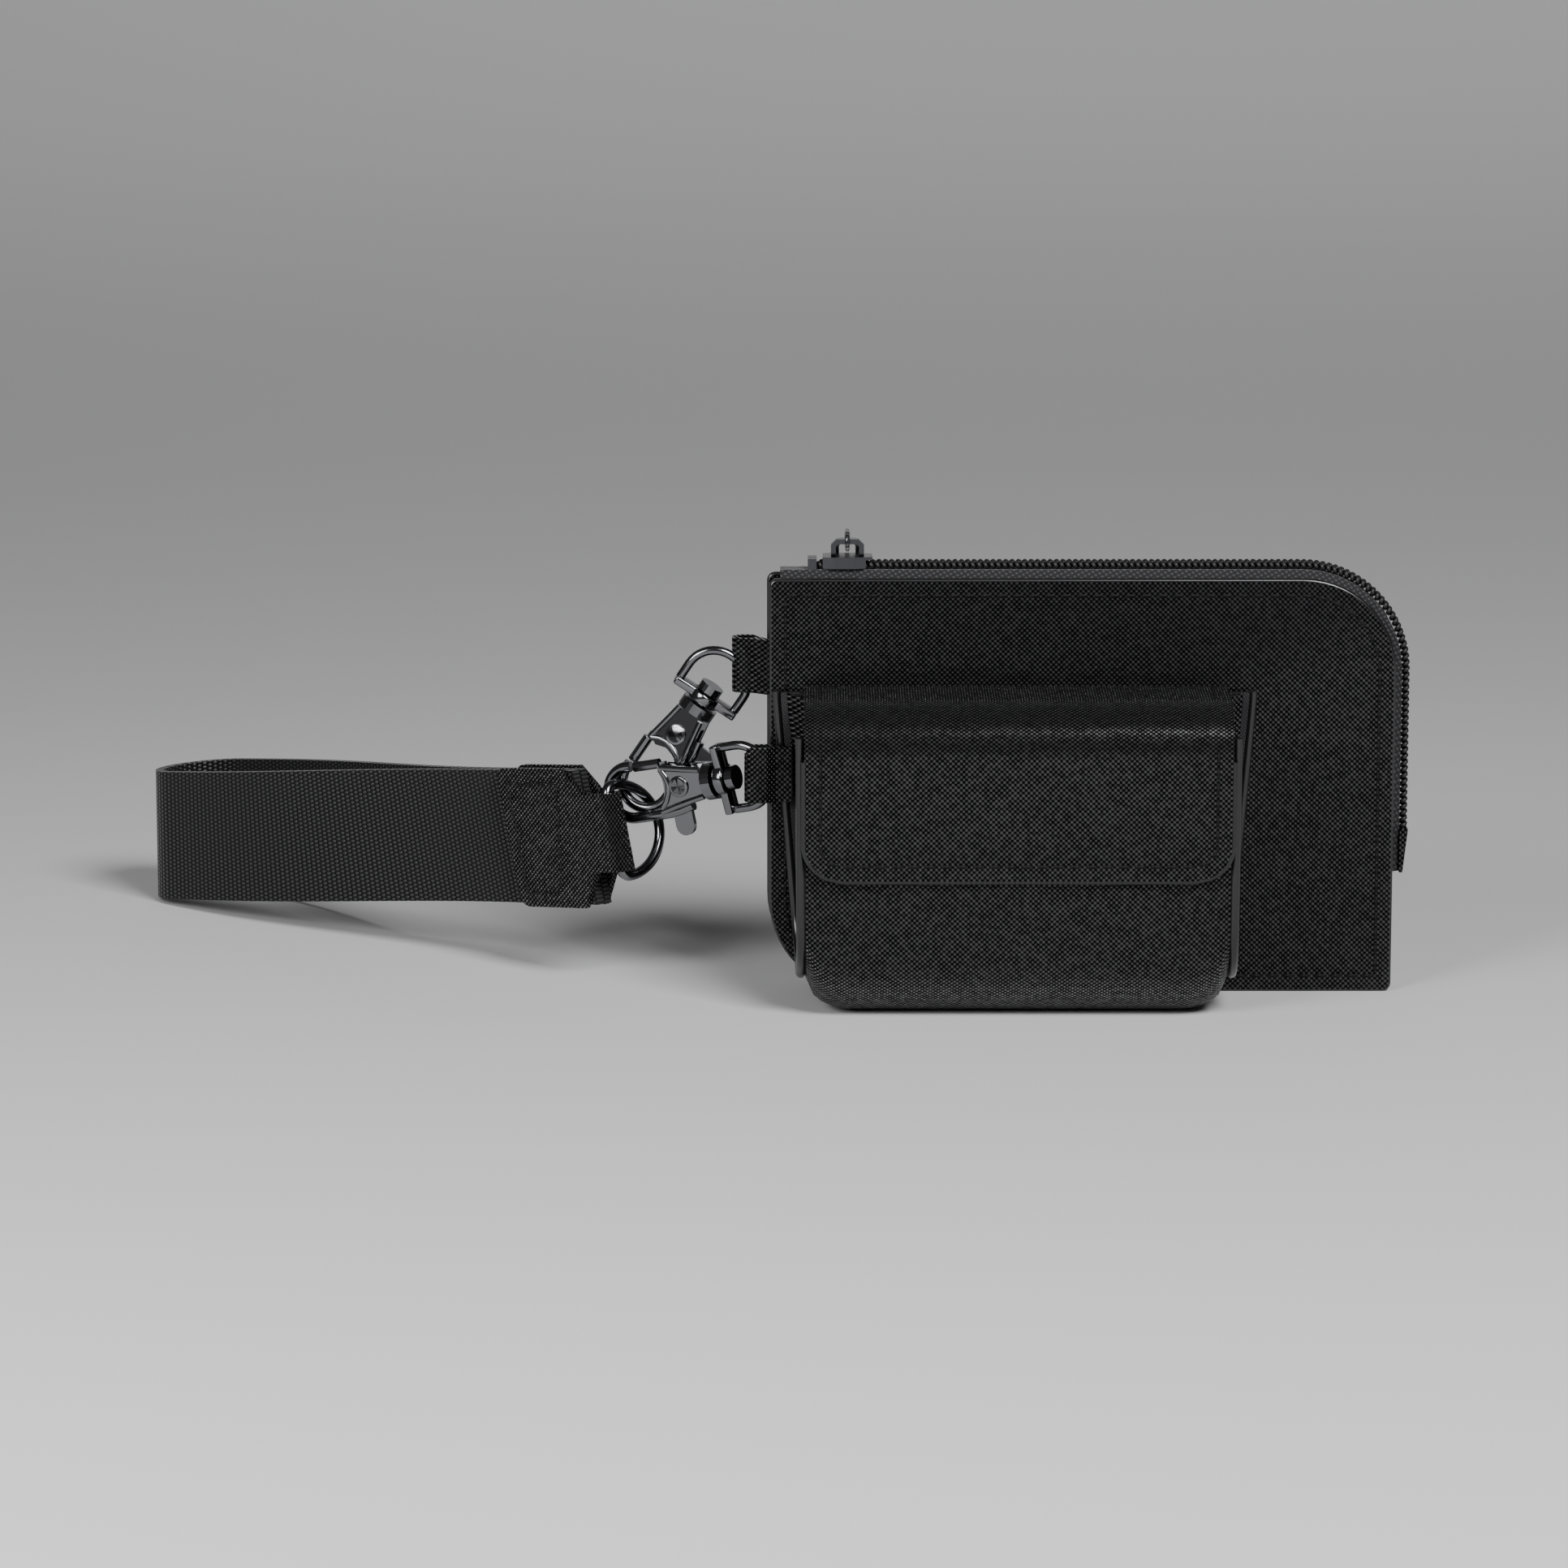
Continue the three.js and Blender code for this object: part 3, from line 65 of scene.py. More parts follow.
# ---------------------------------------------------------------- the leather goods, in metres
LEATHER = 1.2 * MM
STITCH_INSET = 3 * MM
WALLET_HALF = 56.8 * MM
WALLET_TOP = 76.3 * MM
WALLET_BIG = 17 * MM
WALLET_SMALL = 1.5 * MM
WALLET_EDGE = 0.42 * MM
ZIP_START = -48.1 * MM
ZIP_END = 30 * MM
COIL_OUT = 2.05 * MM
COIL_MIDDLE = 1.12 * MM
COIL_HALF_WIDTH = 0.58 * MM
COIL_HALF_HEIGHT = 0.38 * MM
COIL_THREAD = 0.8 * MM
POUCH_MIDDLE = -12.3 * MM
POUCH_BACK = -6.2 * MM
POUCH_FRONT = -28.9 * MM
POUCH_RIM = 51.5 * MM
POUCH_BACK_RIM = 56 * MM
POUCH_BOTTOM = 0.3 * MM
POUCH_BOTTOM_BEND = 9.5 * MM
POUCH_BULGE = 0.9 * MM
BULGE_HEIGHT = 52 * MM
FRONT_HALF = 38.0 * MM
FRONT_SPREAD = 0.3 * MM
BACK_HALF = 38.4 * MM
BACK_SPREAD = 4.0 * MM
SPREAD_FROM = 7 * MM
SPREAD_HEIGHT = 48 * MM
CORNER_PART = 0.22
CORNER_LIFT = 6.5 * MM
GUSSET = 0.9 * MM
GUSSET_FOLD = 5.5 * MM
GUSSET_TUCK = 0.9 * MM
GUSSET_RISE = 0.8 * MM
SEAM_RIDGE = 1.7 * MM
SEAM_OUT = 0.7 * MM
SEAM_BACK = 0.3 * MM
FLAP_HALF = 38.2 * MM
FLAP_FACE = -31.0 * MM
FLAP_BACK = POUCH_BACK - 0.2 * MM
FLAP_TOP = 57.4 * MM
FLAP_DROP = 31.5 * MM
FLAP_CORNER = 6.8 * MM
FLAP_BEND = 9 * MM
FLAP_BACK_BEND = 3 * MM
FLAP_BEAD = 1.25 * MM
FLAP_STITCH_INSET = 2.8 * MM
FRONT_STITCHES_BELOW = 50 * MM
TOP_STITCHES_BEHIND = -23 * MM
BEAD_BELOW = 48 * MM
COS_45 = math.cos(math.pi / 4)

# ---------------------------------------------------------------- depths of the surface relief, in metres
EMBOSS = 0.26 * MM
SWELL = 0.8 * MM
WEAVE = 0.16 * MM
TWILL = 0.1 * MM
RIPPLE = 0.05 * MM

# ---------------------------------------------------------------- the strap, in metres
RING = Vector((-85.18, -0.07, 28.85)) * MM
STRAP_OUT = Vector((-math.cos(math.radians(43.7)), math.sin(math.radians(43.7)), 0))
STRAP_SIDE = Vector((0, 0, 1)).cross(STRAP_OUT)
STRAP_LEAN = 0.27
STRAP_UP = (STRAP_OUT * STRAP_LEAN + Vector((0, 0, 1))).normalized()
STRAP_START = 27.85 * MM
STRAP_LENGTH = 122 * MM
STRAP_SLOPE = (27.85 - 12.65) / 122
END_LENGTH = 25 * MM
END_FACE = 3.05 * MM
WEBBING_WIDTH = 25 * MM
WEBBING = 1.5 * MM
WEBBING_START = 5.6 * MM
WEBBING_PARTS = 21 * MM
PLY_MIDDLE = 0.925 * MM
LOOP_END_RADIUS = 9.25 * MM

# ---------------------------------------------------------------- stitches and hardware, in millimetres
END_STITCHES = [(9.5, 9.2), (22.5, 9.2), (22.5, -11.2), (13.5, -11.2)]
RING_WIRE = 1.96
RING_YAW = math.radians(42.19)
RING_CORNER = 1.8
RING_HALF = 8.45
RING_DEPTH = 10.9
LOOP_WIRE = 1.7
LOOP_LENGTH = 9.1
LOOP_HALF = 5.85
LOOP_NEAR_CORNER = 5.4
LOOP_FAR_CORNER = 0.9
CROSS_BAR = Vector((1.6, 13, 3.4))
BOSS_RADIUS = 3
BOSS_LENGTH = 2
BOSS_MIDDLE = 9.3
HOOK_WIRE = 2.06
HOOK_CENTRE = 28.6
HOOK_RADIUS = 4.8
HOOK_SHANK = [(16.5, -3.9), (19, -4.5), (21.4, -4.75), (24, -4.8), (26.6, -4.8)]
RAIL = 1.15
RAIL_FACE = 1.75
RAILS = (
    [(13.0, 2.45), (16, 2.95), (19, 3.5), (20.9, 3.85)],
    [(13.0, -2.45), (16, -2.95), (19, -3.5), (21.2, -4.0), (22.2, -4.2)],
    [(20.9, 3.6), (20.1, 2.2), (19.8, 0.7), (20.1, -0.9), (20.9, -2.4), (22.0, -3.6)],
)
PIN_AT = 17.7
COLLAR_RADIUS = 1.95
COLLAR_LENGTH = 0.4
COLLAR_FACE = 2.05

# Each clasp: its loop's near end, a place towards its hook's tip, and the hook's turn in degrees.
CLASPS = {
    "upper": ((-63.46, 3.25, 60.72), (-78.75, 5.63, 37.73), 20.77),
    "lower": ((-57.01, -8.42, 41.52), (-83.37, 4.93, 34.97), 5.28),
}


def to_linear(code):
    """An sRGB hex colour as linear RGBA."""
    parts = [int(code[i:i + 2], 16) / 255 for i in (1, 3, 5)]
    return [p / 12.92 if p <= 0.04045 else ((p + 0.055) / 1.055) ** 2.4 for p in parts] + [1.0]


class WristletSettings(bpy.types.PropertyGroup):
    """Sizes of the surface detail, and the set's main colours."""

    grain: bpy.props.FloatProperty(
        name="Grain Pitch", description="Distance between two pips of the embossed leather",
        default=0.68 * MM, min=0.2 * MM, unit="LENGTH", subtype="DISTANCE")
    stitch: bpy.props.FloatProperty(
        name="Stitch Pitch", description="Distance from one stitch to the next",
        default=2.9 * MM, min=1 * MM, unit="LENGTH", subtype="DISTANCE")
    thread: bpy.props.FloatProperty(
        name="Thread", description="Thickness of the sewing thread",
        default=0.55 * MM, min=0.2 * MM, unit="LENGTH", subtype="DISTANCE")
    coil: bpy.props.FloatProperty(
        name="Coil Pitch", description="Distance between two turns of the zip's coil",
        default=1.15 * MM, min=0.6 * MM, unit="LENGTH", subtype="DISTANCE")
    rib: bpy.props.FloatProperty(
        name="Webbing Rib", description="Distance between two ribs of the webbing",
        default=1.1 * MM, min=0.4 * MM, unit="LENGTH", subtype="DISTANCE")
    leather: bpy.props.FloatVectorProperty(
        name="Leather", description="Colour of the raised pips of the leather",
        default=to_linear("#1d1d1f"), min=0, max=1, size=4, subtype="COLOR")
    strap: bpy.props.FloatVectorProperty(
        name="Webbing", description="Colour of the raised yarn of the webbing",
        default=to_linear("#29292b"), min=0, max=1, size=4, subtype="COLOR")
    plating: bpy.props.FloatVectorProperty(
        name="Plating", description="Colour of the clasps and the ring",
        default=to_linear("#78787b"), min=0, max=1, size=4, subtype="COLOR")


# ---------------------------------------------------------------- materials
def add_node(tree, kind, links=None, **values):
    """Adds a shader node, sets its properties and links its inputs, both by name."""
    node = tree.nodes.new(kind)
    for key, value in values.items():
        setattr(node, key, value)
    for key, source in (links or {}).items():
        tree.links.new(source, node.inputs[key])
    return node


def math_node(tree, operation, a, b=None):
    """A math node of two values, each a socket or a number."""
    node = tree.nodes.new("ShaderNodeMath")
    node.operation = operation
    for socket, value in zip(node.inputs, (a, b)):
        if value is None:
            continue
        if isinstance(value, (int, float)):
            socket.default_value = value
        else:
            tree.links.new(value, socket)
    return node.outputs[0]


def surface(name, colour, roughness, metallic=0.0, specular=0.5, coat=0.0, coat_roughness=0.3, sheen=0.0):
    """A new material with one principled surface; returns it, its tree and the surface node."""
    material = bpy.data.materials.new(name)
    material.use_nodes = True
    tree = material.node_tree
    shader = tree.nodes["Principled BSDF"]
    shader.inputs["Base Color"].default_value = colour
    shader.inputs["Roughness"].default_value = roughness
    shader.inputs["Metallic"].default_value = metallic
    if not metallic:
        shader.inputs["Specular IOR Level"].default_value = specular
    shader.inputs["Coat Weight"].default_value = coat
    shader.inputs["Coat Roughness"].default_value = coat_roughness
    shader.inputs["Sheen Weight"].default_value = sheen
    return material, tree, shader


def plane_coordinate(tree, direction, pitch, attribute=None):
    """How far a point lies along a direction, counted in pitches."""
    if attribute:
        source = add_node(tree, "ShaderNodeUVMap", uv_map=attribute).outputs["UV"]
    else:
        source = add_node(tree, "ShaderNodeTexCoord").outputs["Object"]
    dot = tree.nodes.new("ShaderNodeVectorMath")
    dot.operation = "DOT_PRODUCT"
    tree.links.new(source, dot.inputs[0])
    dot.inputs[1].default_value = [c / pitch for c in direction]
    return dot.outputs["Value"]


def wave(tree, value):
    """0.5 + 0.5 cos of a value counted in turns."""
    turned = math_node(tree, "MULTIPLY", value, math.tau)
    half = math_node(tree, "MULTIPLY", math_node(tree, "COSINE", turned), 0.5)
    return math_node(tree, "ADD", half, 0.5)


def pips(tree, columns, rows, floor):
    """Raised spots where two families of waves meet."""
    raised = [math_node(tree, "ADD", waves, floor) for waves in (columns, rows)]
    return math_node(tree, "MULTIPLY", *raised)


def bump(tree, height, strength, distance, normal=None):
    """Relief from a height; returns the normal."""
    links = {"Height": height}
    if normal:
        links["Normal"] = normal
    node = add_node(tree, "ShaderNodeBump", links=links)
    node.inputs["Strength"].default_value = strength
    node.inputs["Distance"].default_value = distance
    return node.outputs[0]


def noise(tree, scale):
    """Smooth noise over the object, as a value."""
    source = add_node(tree, "ShaderNodeTexCoord").outputs["Object"]
    node = add_node(tree, "ShaderNodeTexNoise", links={"Vector": source})
    node.inputs["Scale"].default_value = scale
    node.inputs["Detail"].default_value = 2
    return node.outputs[0]


def paint_shade_in_hollows(tree, shader, height, low, high, deep, raised):
    """Paints shade into a surface's colour by height: near-black painted shade in its deep places, up to
    the raised colour on its raised places; returns how raised a place is, 0 to 1.
    """
    lifted = add_node(tree, "ShaderNodeMapRange", links={"Value": height})
    lifted.inputs["From Min"].default_value = low
    lifted.inputs["From Max"].default_value = high
    hollow_shade_mix = add_node(tree, "ShaderNodeMix", data_type="RGBA")
    tree.links.new(lifted.outputs[0], hollow_shade_mix.inputs[0])
    colours = [socket for socket in hollow_shade_mix.inputs if socket.type == "RGBA"]
    # The deep colour is painted shade in the hollows; the raised colour is the surface's own colour.
    colours[0].default_value = deep
    colours[1].default_value = raised
    result = next(socket for socket in hollow_shade_mix.outputs if socket.type == "RGBA")
    tree.links.new(result, shader.inputs["Base Color"])
    return lifted.outputs[0]


def saffiano(name, across, along, pitch, colour):
    """Cross-hatch embossed, coated leather: pips on two diagonal families of lines."""
    # The pips' coated tops catch the light as fine bright points, and the grooves between stay dull; the
    # grooves are also painted near-black, as painted shade, while the pips keep the leather's colour.
    material, tree, shader = surface(name, colour, 0.36, coat_roughness=0.24)
    half = math.sqrt(0.5)
    across, along = Vector(across), Vector(along)
    u = plane_coordinate(tree, (across + along) * half, pitch)
    v = plane_coordinate(tree, (across - along) * half, pitch)
    cell = add_node(tree, "ShaderNodeCombineXYZ", links={
        "X": math_node(tree, "ROUND", u), "Y": math_node(tree, "ROUND", v)})
    chance = add_node(tree, "ShaderNodeTexWhiteNoise", links={"Vector": cell.outputs[0]},
                      noise_dimensions="3D").outputs["Value"]
    uneven = math_node(tree, "ADD", math_node(tree, "MULTIPLY", chance, 0.45), 0.7)
    height = math_node(tree, "MULTIPLY", pips(tree, wave(tree, u), wave(tree, v), 0.5), uneven)
    # The colour runs from painted shade, near-black, in the grooves to the leather's colour on the pips;
    # the same mask raises the specular and the coat on the pips.
    polish_and_shade = paint_shade_in_hollows(tree, shader, height, 0.4, 1.7, to_linear("#040405"), colour)
    tree.links.new(math_node(tree, "MULTIPLY", polish_and_shade, 0.9), shader.inputs["Specular IOR Level"])
    tree.links.new(math_node(tree, "MULTIPLY", polish_and_shade, polish_and_shade), shader.inputs["Coat Weight"])
    emboss = bump(tree, height, 1.0, EMBOSS)
    tree.links.new(bump(tree, noise(tree, 55), 0.5, SWELL, emboss), shader.inputs["Normal"])
    return material


def webbing_weave(name, rib, colour):
    """Dense woven nylon webbing: staggered rows of raised yarn over the ribs."""
    # Round filament yarn gives a soft sheen on each raised stitch of the weave.
    material, tree, shader = surface(name, colour, 0.42, sheen=0.1)
    along = plane_coordinate(tree, (1, 0, 0), rib, "strap")
    across = plane_coordinate(tree, (0, 1, 0), rib * 0.7, "strap")
    odd = math_node(tree, "PINGPONG", math_node(tree, "ROUND", along), 1)
    shifted = math_node(tree, "ADD", across, math_node(tree, "MULTIPLY", odd, 0.5))
    height = pips(tree, wave(tree, along), wave(tree, shifted), 0.35)
    # The colour runs from painted shade, near-black, between the raised yarn to the webbing's colour on it;
    # the same mask raises the specular on the yarn.
    polish_and_shade = paint_shade_in_hollows(tree, shader, height, 0.2, 1.6, to_linear("#040404"), colour)
    tree.links.new(math_node(tree, "MULTIPLY", polish_and_shade, 0.6), shader.inputs["Specular IOR Level"])
    tree.links.new(bump(tree, height, 0.75, WEAVE), shader.inputs["Normal"])
    return material


def twill(name, colour, pitch):
    """Fine woven tape or lining cloth."""
    # Spun yarn scatters the light, so it looks dull; the weave is drawn a little coarser than the real one.
    material, tree, shader = surface(name, colour, 0.75, specular=0.3, sheen=0.2)
    u = plane_coordinate(tree, (1, 0.5, 0.6), pitch)
    v = plane_coordinate(tree, (-0.6, 0.5, 1), pitch)
    yarn = math_node(tree, "MULTIPLY", wave(tree, u), wave(tree, v))
    # The colour runs from painted shade, near-black, between the yarns to the cloth's colour on them.
    paint_shade_in_hollows(tree, shader, yarn, 0.0, 0.9, to_linear("#070708"), colour)
    tree.links.new(bump(tree, yarn, 0.8, TWILL), shader.inputs["Normal"])
    return material


def gunmetal(name, colour, roughness):
    """Dark polished plating on cast zinc."""
    # A clear mirror of the room, very slightly wavy from the casting under the plating.
    material, tree, shader = surface(name, colour, roughness, metallic=1.0)
    tree.links.new(bump(tree, noise(tree, 600), 0.15, RIPPLE), shader.inputs["Normal"])
    return material


MATERIALS = {}


def make_materials(settings):
    """All the finishes of the set, by name."""
    # The emboss runs at 45 degrees to the sides of each piece, whatever way the piece lies.
    grains = {
        "panel": ("saffiano leather, flat", (1, 0, 0), (0, 0, 1)),
        "flap": ("saffiano leather, flap", (1, 0, 0), (0, 1, 1)),
        "wrap": ("saffiano leather, pouch wrap", (1, 0, 0), (0, -1, 1)),
        "gusset": ("saffiano leather, gusset", (0.3, 1, 0), (0, 0, 1)),
        "tab": ("saffiano leather, tab", (1, 0.3, 0), (0, 0, 1)),
        "strap_end": ("saffiano leather, strap end", (1.41, 0, 0), (0, 0, 1)),
    }
    for key, (name, across, along) in grains.items():
        MATERIALS[key] = saffiano(name, across, along, settings.grain, settings.leather)
    MATERIALS.update(
        # Several rubbed coats of edge paint give a rounded, satin line.
        paint=surface("edge paint on leather", to_linear("#0d0d0e"), 0.3, coat=0.4, coat_roughness=0.2)[0],
        rim=surface("satin edge paint", to_linear("#0e0e0f"), 0.33, coat=0.2)[0],
        # Waxed thread, pulled down into the leather, is a dull dark line.
        thread=surface("bonded nylon thread", to_linear("#070707"), 0.65, specular=0.25)[0],
        lining=twill("nylon lining cloth", to_linear("#37373b"), 0.5 * MM),
        tape=twill("polyester zip tape", to_linear("#3c3c40"), 1.0 * MM),
        # Extruded monofilament: smooth, but without a gloss.
        coil=surface("nylon zip coil", to_linear("#131314"), 0.5)[0],
        webbing=webbing_weave("nylon webbing", settings.rib, settings.strap),
        metal=gunmetal("polished gunmetal", settings.plating, 0.15),
        dark_metal=gunmetal("dark zip metal", to_linear("#4a4a4d"), 0.2),
        # Plain plated discs, hidden when the flap is shut.
        steel=surface("nickel-plated steel", to_linear("#a0a0a2"), 0.3, metallic=1.0)[0],
    )


# ---------------------------------------------------------------- mesh helpers
def new_object(name, bm, materials, smooth=40):
    """A mesh object from a bmesh, shaded smooth up to an angle."""
    bmesh.ops.recalc_face_normals(bm, faces=bm.faces)
    mesh = bpy.data.meshes.new(name)
    bm.to_mesh(mesh)
    bm.free()
    for material in materials:
        mesh.materials.append(MATERIALS[material])
    mesh.shade_smooth()
    mesh.set_sharp_from_angle(angle=math.radians(smooth))
    obj = bpy.data.objects.new(name, mesh)
    bpy.context.scene.collection.objects.link(obj)
    return obj


def bevel(bm, edges, offset, segments):
    """Rounds edges of a bmesh."""
    bmesh.ops.bevel(bm, geom=edges, offset=offset, segments=segments, profile=0.5,
                    affect="EDGES", material=-1)


def slab(low, high, corners, edge):
    """A box with its four corners about Y rounded and its face edges eased; sides get the second slot."""
    bm = bmesh.new()
    middle = (Vector(low) + Vector(high)) / 2
    size = Vector(high) - Vector(low)
    bmesh.ops.create_cube(bm, size=1, matrix=Matrix.Translation(middle) @ Matrix.Diagonal((*size, 1)))
    for (side, end), radius in corners.items():
        x = high[0] if side > 0 else low[0]
        z = high[2] if end > 0 else low[2]
        found = [e for e in bm.edges
                 if all(abs(v.co.x - x) < 1e-6 and abs(v.co.z - z) < 1e-6 for v in e.verts)]
        bevel(bm, found, radius, 14 if radius > 4 * MM else 4)
    rims = [e for e in bm.edges if len(e.link_faces) == 2
            and sum(abs(f.normal.y) > 0.9 for f in e.link_faces) == 1]
    bevel(bm, rims, edge, 3)
    bm.normal_update()
    for face in bm.faces:
        face.material_index = 0 if abs(face.normal.y) > 0.99 else 1
    return bm


def arc(cx, cy, radius, start, end, steps):
    """Points of an arc in a plane, in degrees."""
    angles = [math.radians(start + (end - start) * i / steps) for i in range(steps + 1)]
    return [(cx + radius * math.cos(a), cy + radius * math.sin(a)) for a in angles]


def rounded_path(x0, x1, z0, z1, radii, y):
    """Points round a rectangle with rounded corners, from the lower left corner upwards."""
    points = []
    for (side, end), start in (((-1, 1), 180), ((1, 1), 90), ((1, -1), 0), ((-1, -1), -90)):
        r = radii[(side, end)]
        cx = (x1 if side > 0 else x0) - side * r
        cz = (z1 if end > 0 else z0) - end * r
        points += [Vector((x, y, z)) for x, z in arc(cx, cz, r, start, start - 90, 8)]
    return points


def walk(points, step, closed=False):
    """Evenly spaced places along a path, each with its direction."""
    track = points + points[:1] if closed else points
    lengths = [0.0]
    for a, b in zip(track, track[1:]):
        lengths.append(lengths[-1] + (b - a).length)
    count = max(int(round(lengths[-1] / step)), 1)
    places = []
    k = 0
    for i in range(count):
        at = (i + 0.5) * lengths[-1] / count
        while lengths[k + 1] < at:
            k += 1
        a, b = track[k], track[k + 1]
        part = (at - lengths[k]) / max(lengths[k + 1] - lengths[k], 1e-9)
        places.append((a.lerp(b, part), (b - a).normalized()))
    return places


def sew(name, paths, settings, body):
    """Rows of stitches: each is a short bead of thread, half sunk in the leather."""
    bm = bmesh.new()
    for points, closed in paths:
        for at, direction in walk(points, settings.stitch, closed):
            turn = direction.to_track_quat("X", "Z").to_matrix().to_4x4()
            size = Matrix.Diagonal((settings.stitch * 0.4, settings.thread / 2, settings.thread / 2, 1))
            bmesh.ops.create_uvsphere(bm, u_segments=8, v_segments=5, radius=1,
                                      matrix=Matrix.Translation(at) @ turn @ size)
    row = new_object(name, bm, ["thread"], 80)
    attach(row, body)


def grid_surface(columns, rows, place, thickness, inner=None, uv=None):
    """A grid bent onto place(u, v) and thickened; its rim gets slot 1 and its inside the slot inner."""
    bm = bmesh.new()
    bmesh.ops.create_grid(bm, x_segments=columns, y_segments=rows, size=0.5)
    layer = bm.loops.layers.uv.new(uv) if uv else None
    spots = {v: (min(max(v.co.x + 0.5, 0), 1), min(max(v.co.y + 0.5, 0), 1)) for v in bm.verts}
    if layer:
        for face in bm.faces:
            for loop in face.loops:
                loop[layer].uv = place(*spots[loop.vert])[1]
    for vert, (u, v) in spots.items():
        at = place(u, v)
        vert.co = at[0] if uv else at
    outer = list(bm.faces)
    bm.normal_update()
    made = bmesh.ops.solidify(bm, geom=outer, thickness=thickness)
    copied = {f for f in made["geom"] if isinstance(f, bmesh.types.BMFace)}
    for face in bm.faces:
        face.material_index = 1
    for face in outer:
        if face.is_valid:
            face.material_index = 0
    if inner is not None:
        for face in copied:
            if face not in outer and all(len(e.link_faces) == 2 for e in face.edges):
                face.material_index = inner
    return bm


def tube(name, points, thickness, material, closed=False, resolution=4):
    """A round wire, bead or cord along points."""
    curve = bpy.data.curves.new(name, "CURVE")
    curve.dimensions = "3D"
    curve.bevel_depth = thickness / 2
    curve.bevel_resolution = resolution
    curve.use_fill_caps = True
    spline = curve.splines.new("POLY")
    spline.points.add(len(points) - 1)
    for point, at in zip(spline.points, points):
        point.co = (*at, 1)
    spline.use_cyclic_u = closed
    spline.use_smooth = True
    curve.materials.append(MATERIALS[material])
    obj = bpy.data.objects.new(name, curve)
    bpy.context.scene.collection.objects.link(obj)
    return obj


# ---------------------------------------------------------------- pieces
def make_wallet(settings):
    """The two leather panels with painted edges and their rows of stitches."""
    corners = {(-1, 1): WALLET_SMALL, (1, 1): WALLET_BIG, (1, -1): WALLET_SMALL, (-1, -1): WALLET_BIG}
    inset = STITCH_INSET
    inner = {key: max(r - inset, 0.4 * MM) for key, r in corners.items()}
    for side, node in ((-1, "wallet_front_panel"), (1, "wallet_back_panel")):
        low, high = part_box(node)
        bm = slab(low, high, corners, WALLET_EDGE)
        panel = new_object(node.replace("_panel", "_leather"), bm, ["panel", "paint"])
        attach(panel, "wallet")
        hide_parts(node)
        face = low[1] if side < 0 else high[1]
        path = rounded_path(low[0] + inset, high[0] - inset, low[2] + inset, high[2] - inset, inner, face)
        sew(node.replace("_panel", "_stitches"), [(path, True)], settings, "wallet")


def zip_line(out):
    """Places along the zip chain, with the direction out of the wallet: top, corner, then side."""
    cx, cz = WALLET_HALF - WALLET_BIG, WALLET_TOP - WALLET_BIG
    points = [Vector((ZIP_START, 0, WALLET_TOP + out))]
    points += [Vector((x, 0, z)) for x, z in arc(cx, cz, WALLET_BIG + out, 90, 0, 24)]
    points.append(Vector((WALLET_HALF + out, 0, ZIP_END)))
    return points


def make_coils(settings):
    """The two nylon coils of the zip chain, wound as helices along their tapes."""
    steps = 10
    for side, node in ((-1, "zip_coil_front"), (1, "zip_coil_back")):
        points = []
        for at, direction in walk(zip_line(COIL_OUT), settings.coil / steps):
            outward = Vector((-direction.z, 0, direction.x))
            turn = math.tau * len(points) / steps + (math.pi if side > 0 else 0)
            sideways = Vector((0, side * COIL_MIDDLE + COIL_HALF_WIDTH * math.cos(turn), 0))
            points.append(at + sideways + outward * COIL_HALF_HEIGHT * math.sin(turn))
        coil = tube(node + "_winding", points, COIL_THREAD, "coil", resolution=1)
        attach(coil, "wallet")
        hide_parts(node)


def pouch_half(y, z):
    """Half the pouch's width at a place: the back spreads out towards its top."""
    back = (y - POUCH_FRONT) / (POUCH_BACK - POUCH_FRONT)
    up = min(max((z - SPREAD_FROM) / SPREAD_HEIGHT, 0), 1)
    return (FRONT_HALF + FRONT_SPREAD * up) * (1 - back) + (BACK_HALF + BACK_SPREAD * up) * back


def section(s, lift):
    """The wrap's outer face at s from 0, the front rim, to 1, the back rim: a U with its bottom lifted."""
    r = POUCH_BOTTOM_BEND
    floor = POUCH_BOTTOM + lift
    drop = POUCH_RIM - floor - r
    rise = POUCH_BACK_RIM - floor - r
    flat = POUCH_BACK - POUCH_FRONT - 2 * r
    bend = math.pi / 2 * r
    at = s * (drop + bend + flat + bend + rise)
    if at < drop:
        return POUCH_FRONT, POUCH_RIM - at
    at -= drop
    if at < bend:
        return POUCH_FRONT + r - r * math.cos(at / r), floor + r - r * math.sin(at / r)
    at -= bend
    if at < flat:
        return POUCH_FRONT + r + at, floor
    at -= flat
    if at < bend:
        return POUCH_BACK - r + r * math.sin(at / r), floor + r - r * math.cos(at / r)
    return POUCH_BACK, floor + r + (at - bend)


def wrap_place(u, s):
    """A point of the wrap: across the width by u, along the section by s."""
    across = 2 * u - 1
    near_edge = max(abs(across) - (1 - CORNER_PART), 0) / CORNER_PART
    lift = CORNER_LIFT * (1 - math.sqrt(max(1 - near_edge ** 2, 0)))
    y, z = section(s, lift)
    bulge = POUCH_BULGE * (1 - across ** 2) * math.sin(math.pi * min(max(z / BULGE_HEIGHT, 0), 1))
    front = 1 - (y - POUCH_FRONT) / (POUCH_BACK - POUCH_FRONT)
    return Vector((POUCH_MIDDLE + across * pouch_half(y, z), y - bulge * max(front, 0) ** 4, z))


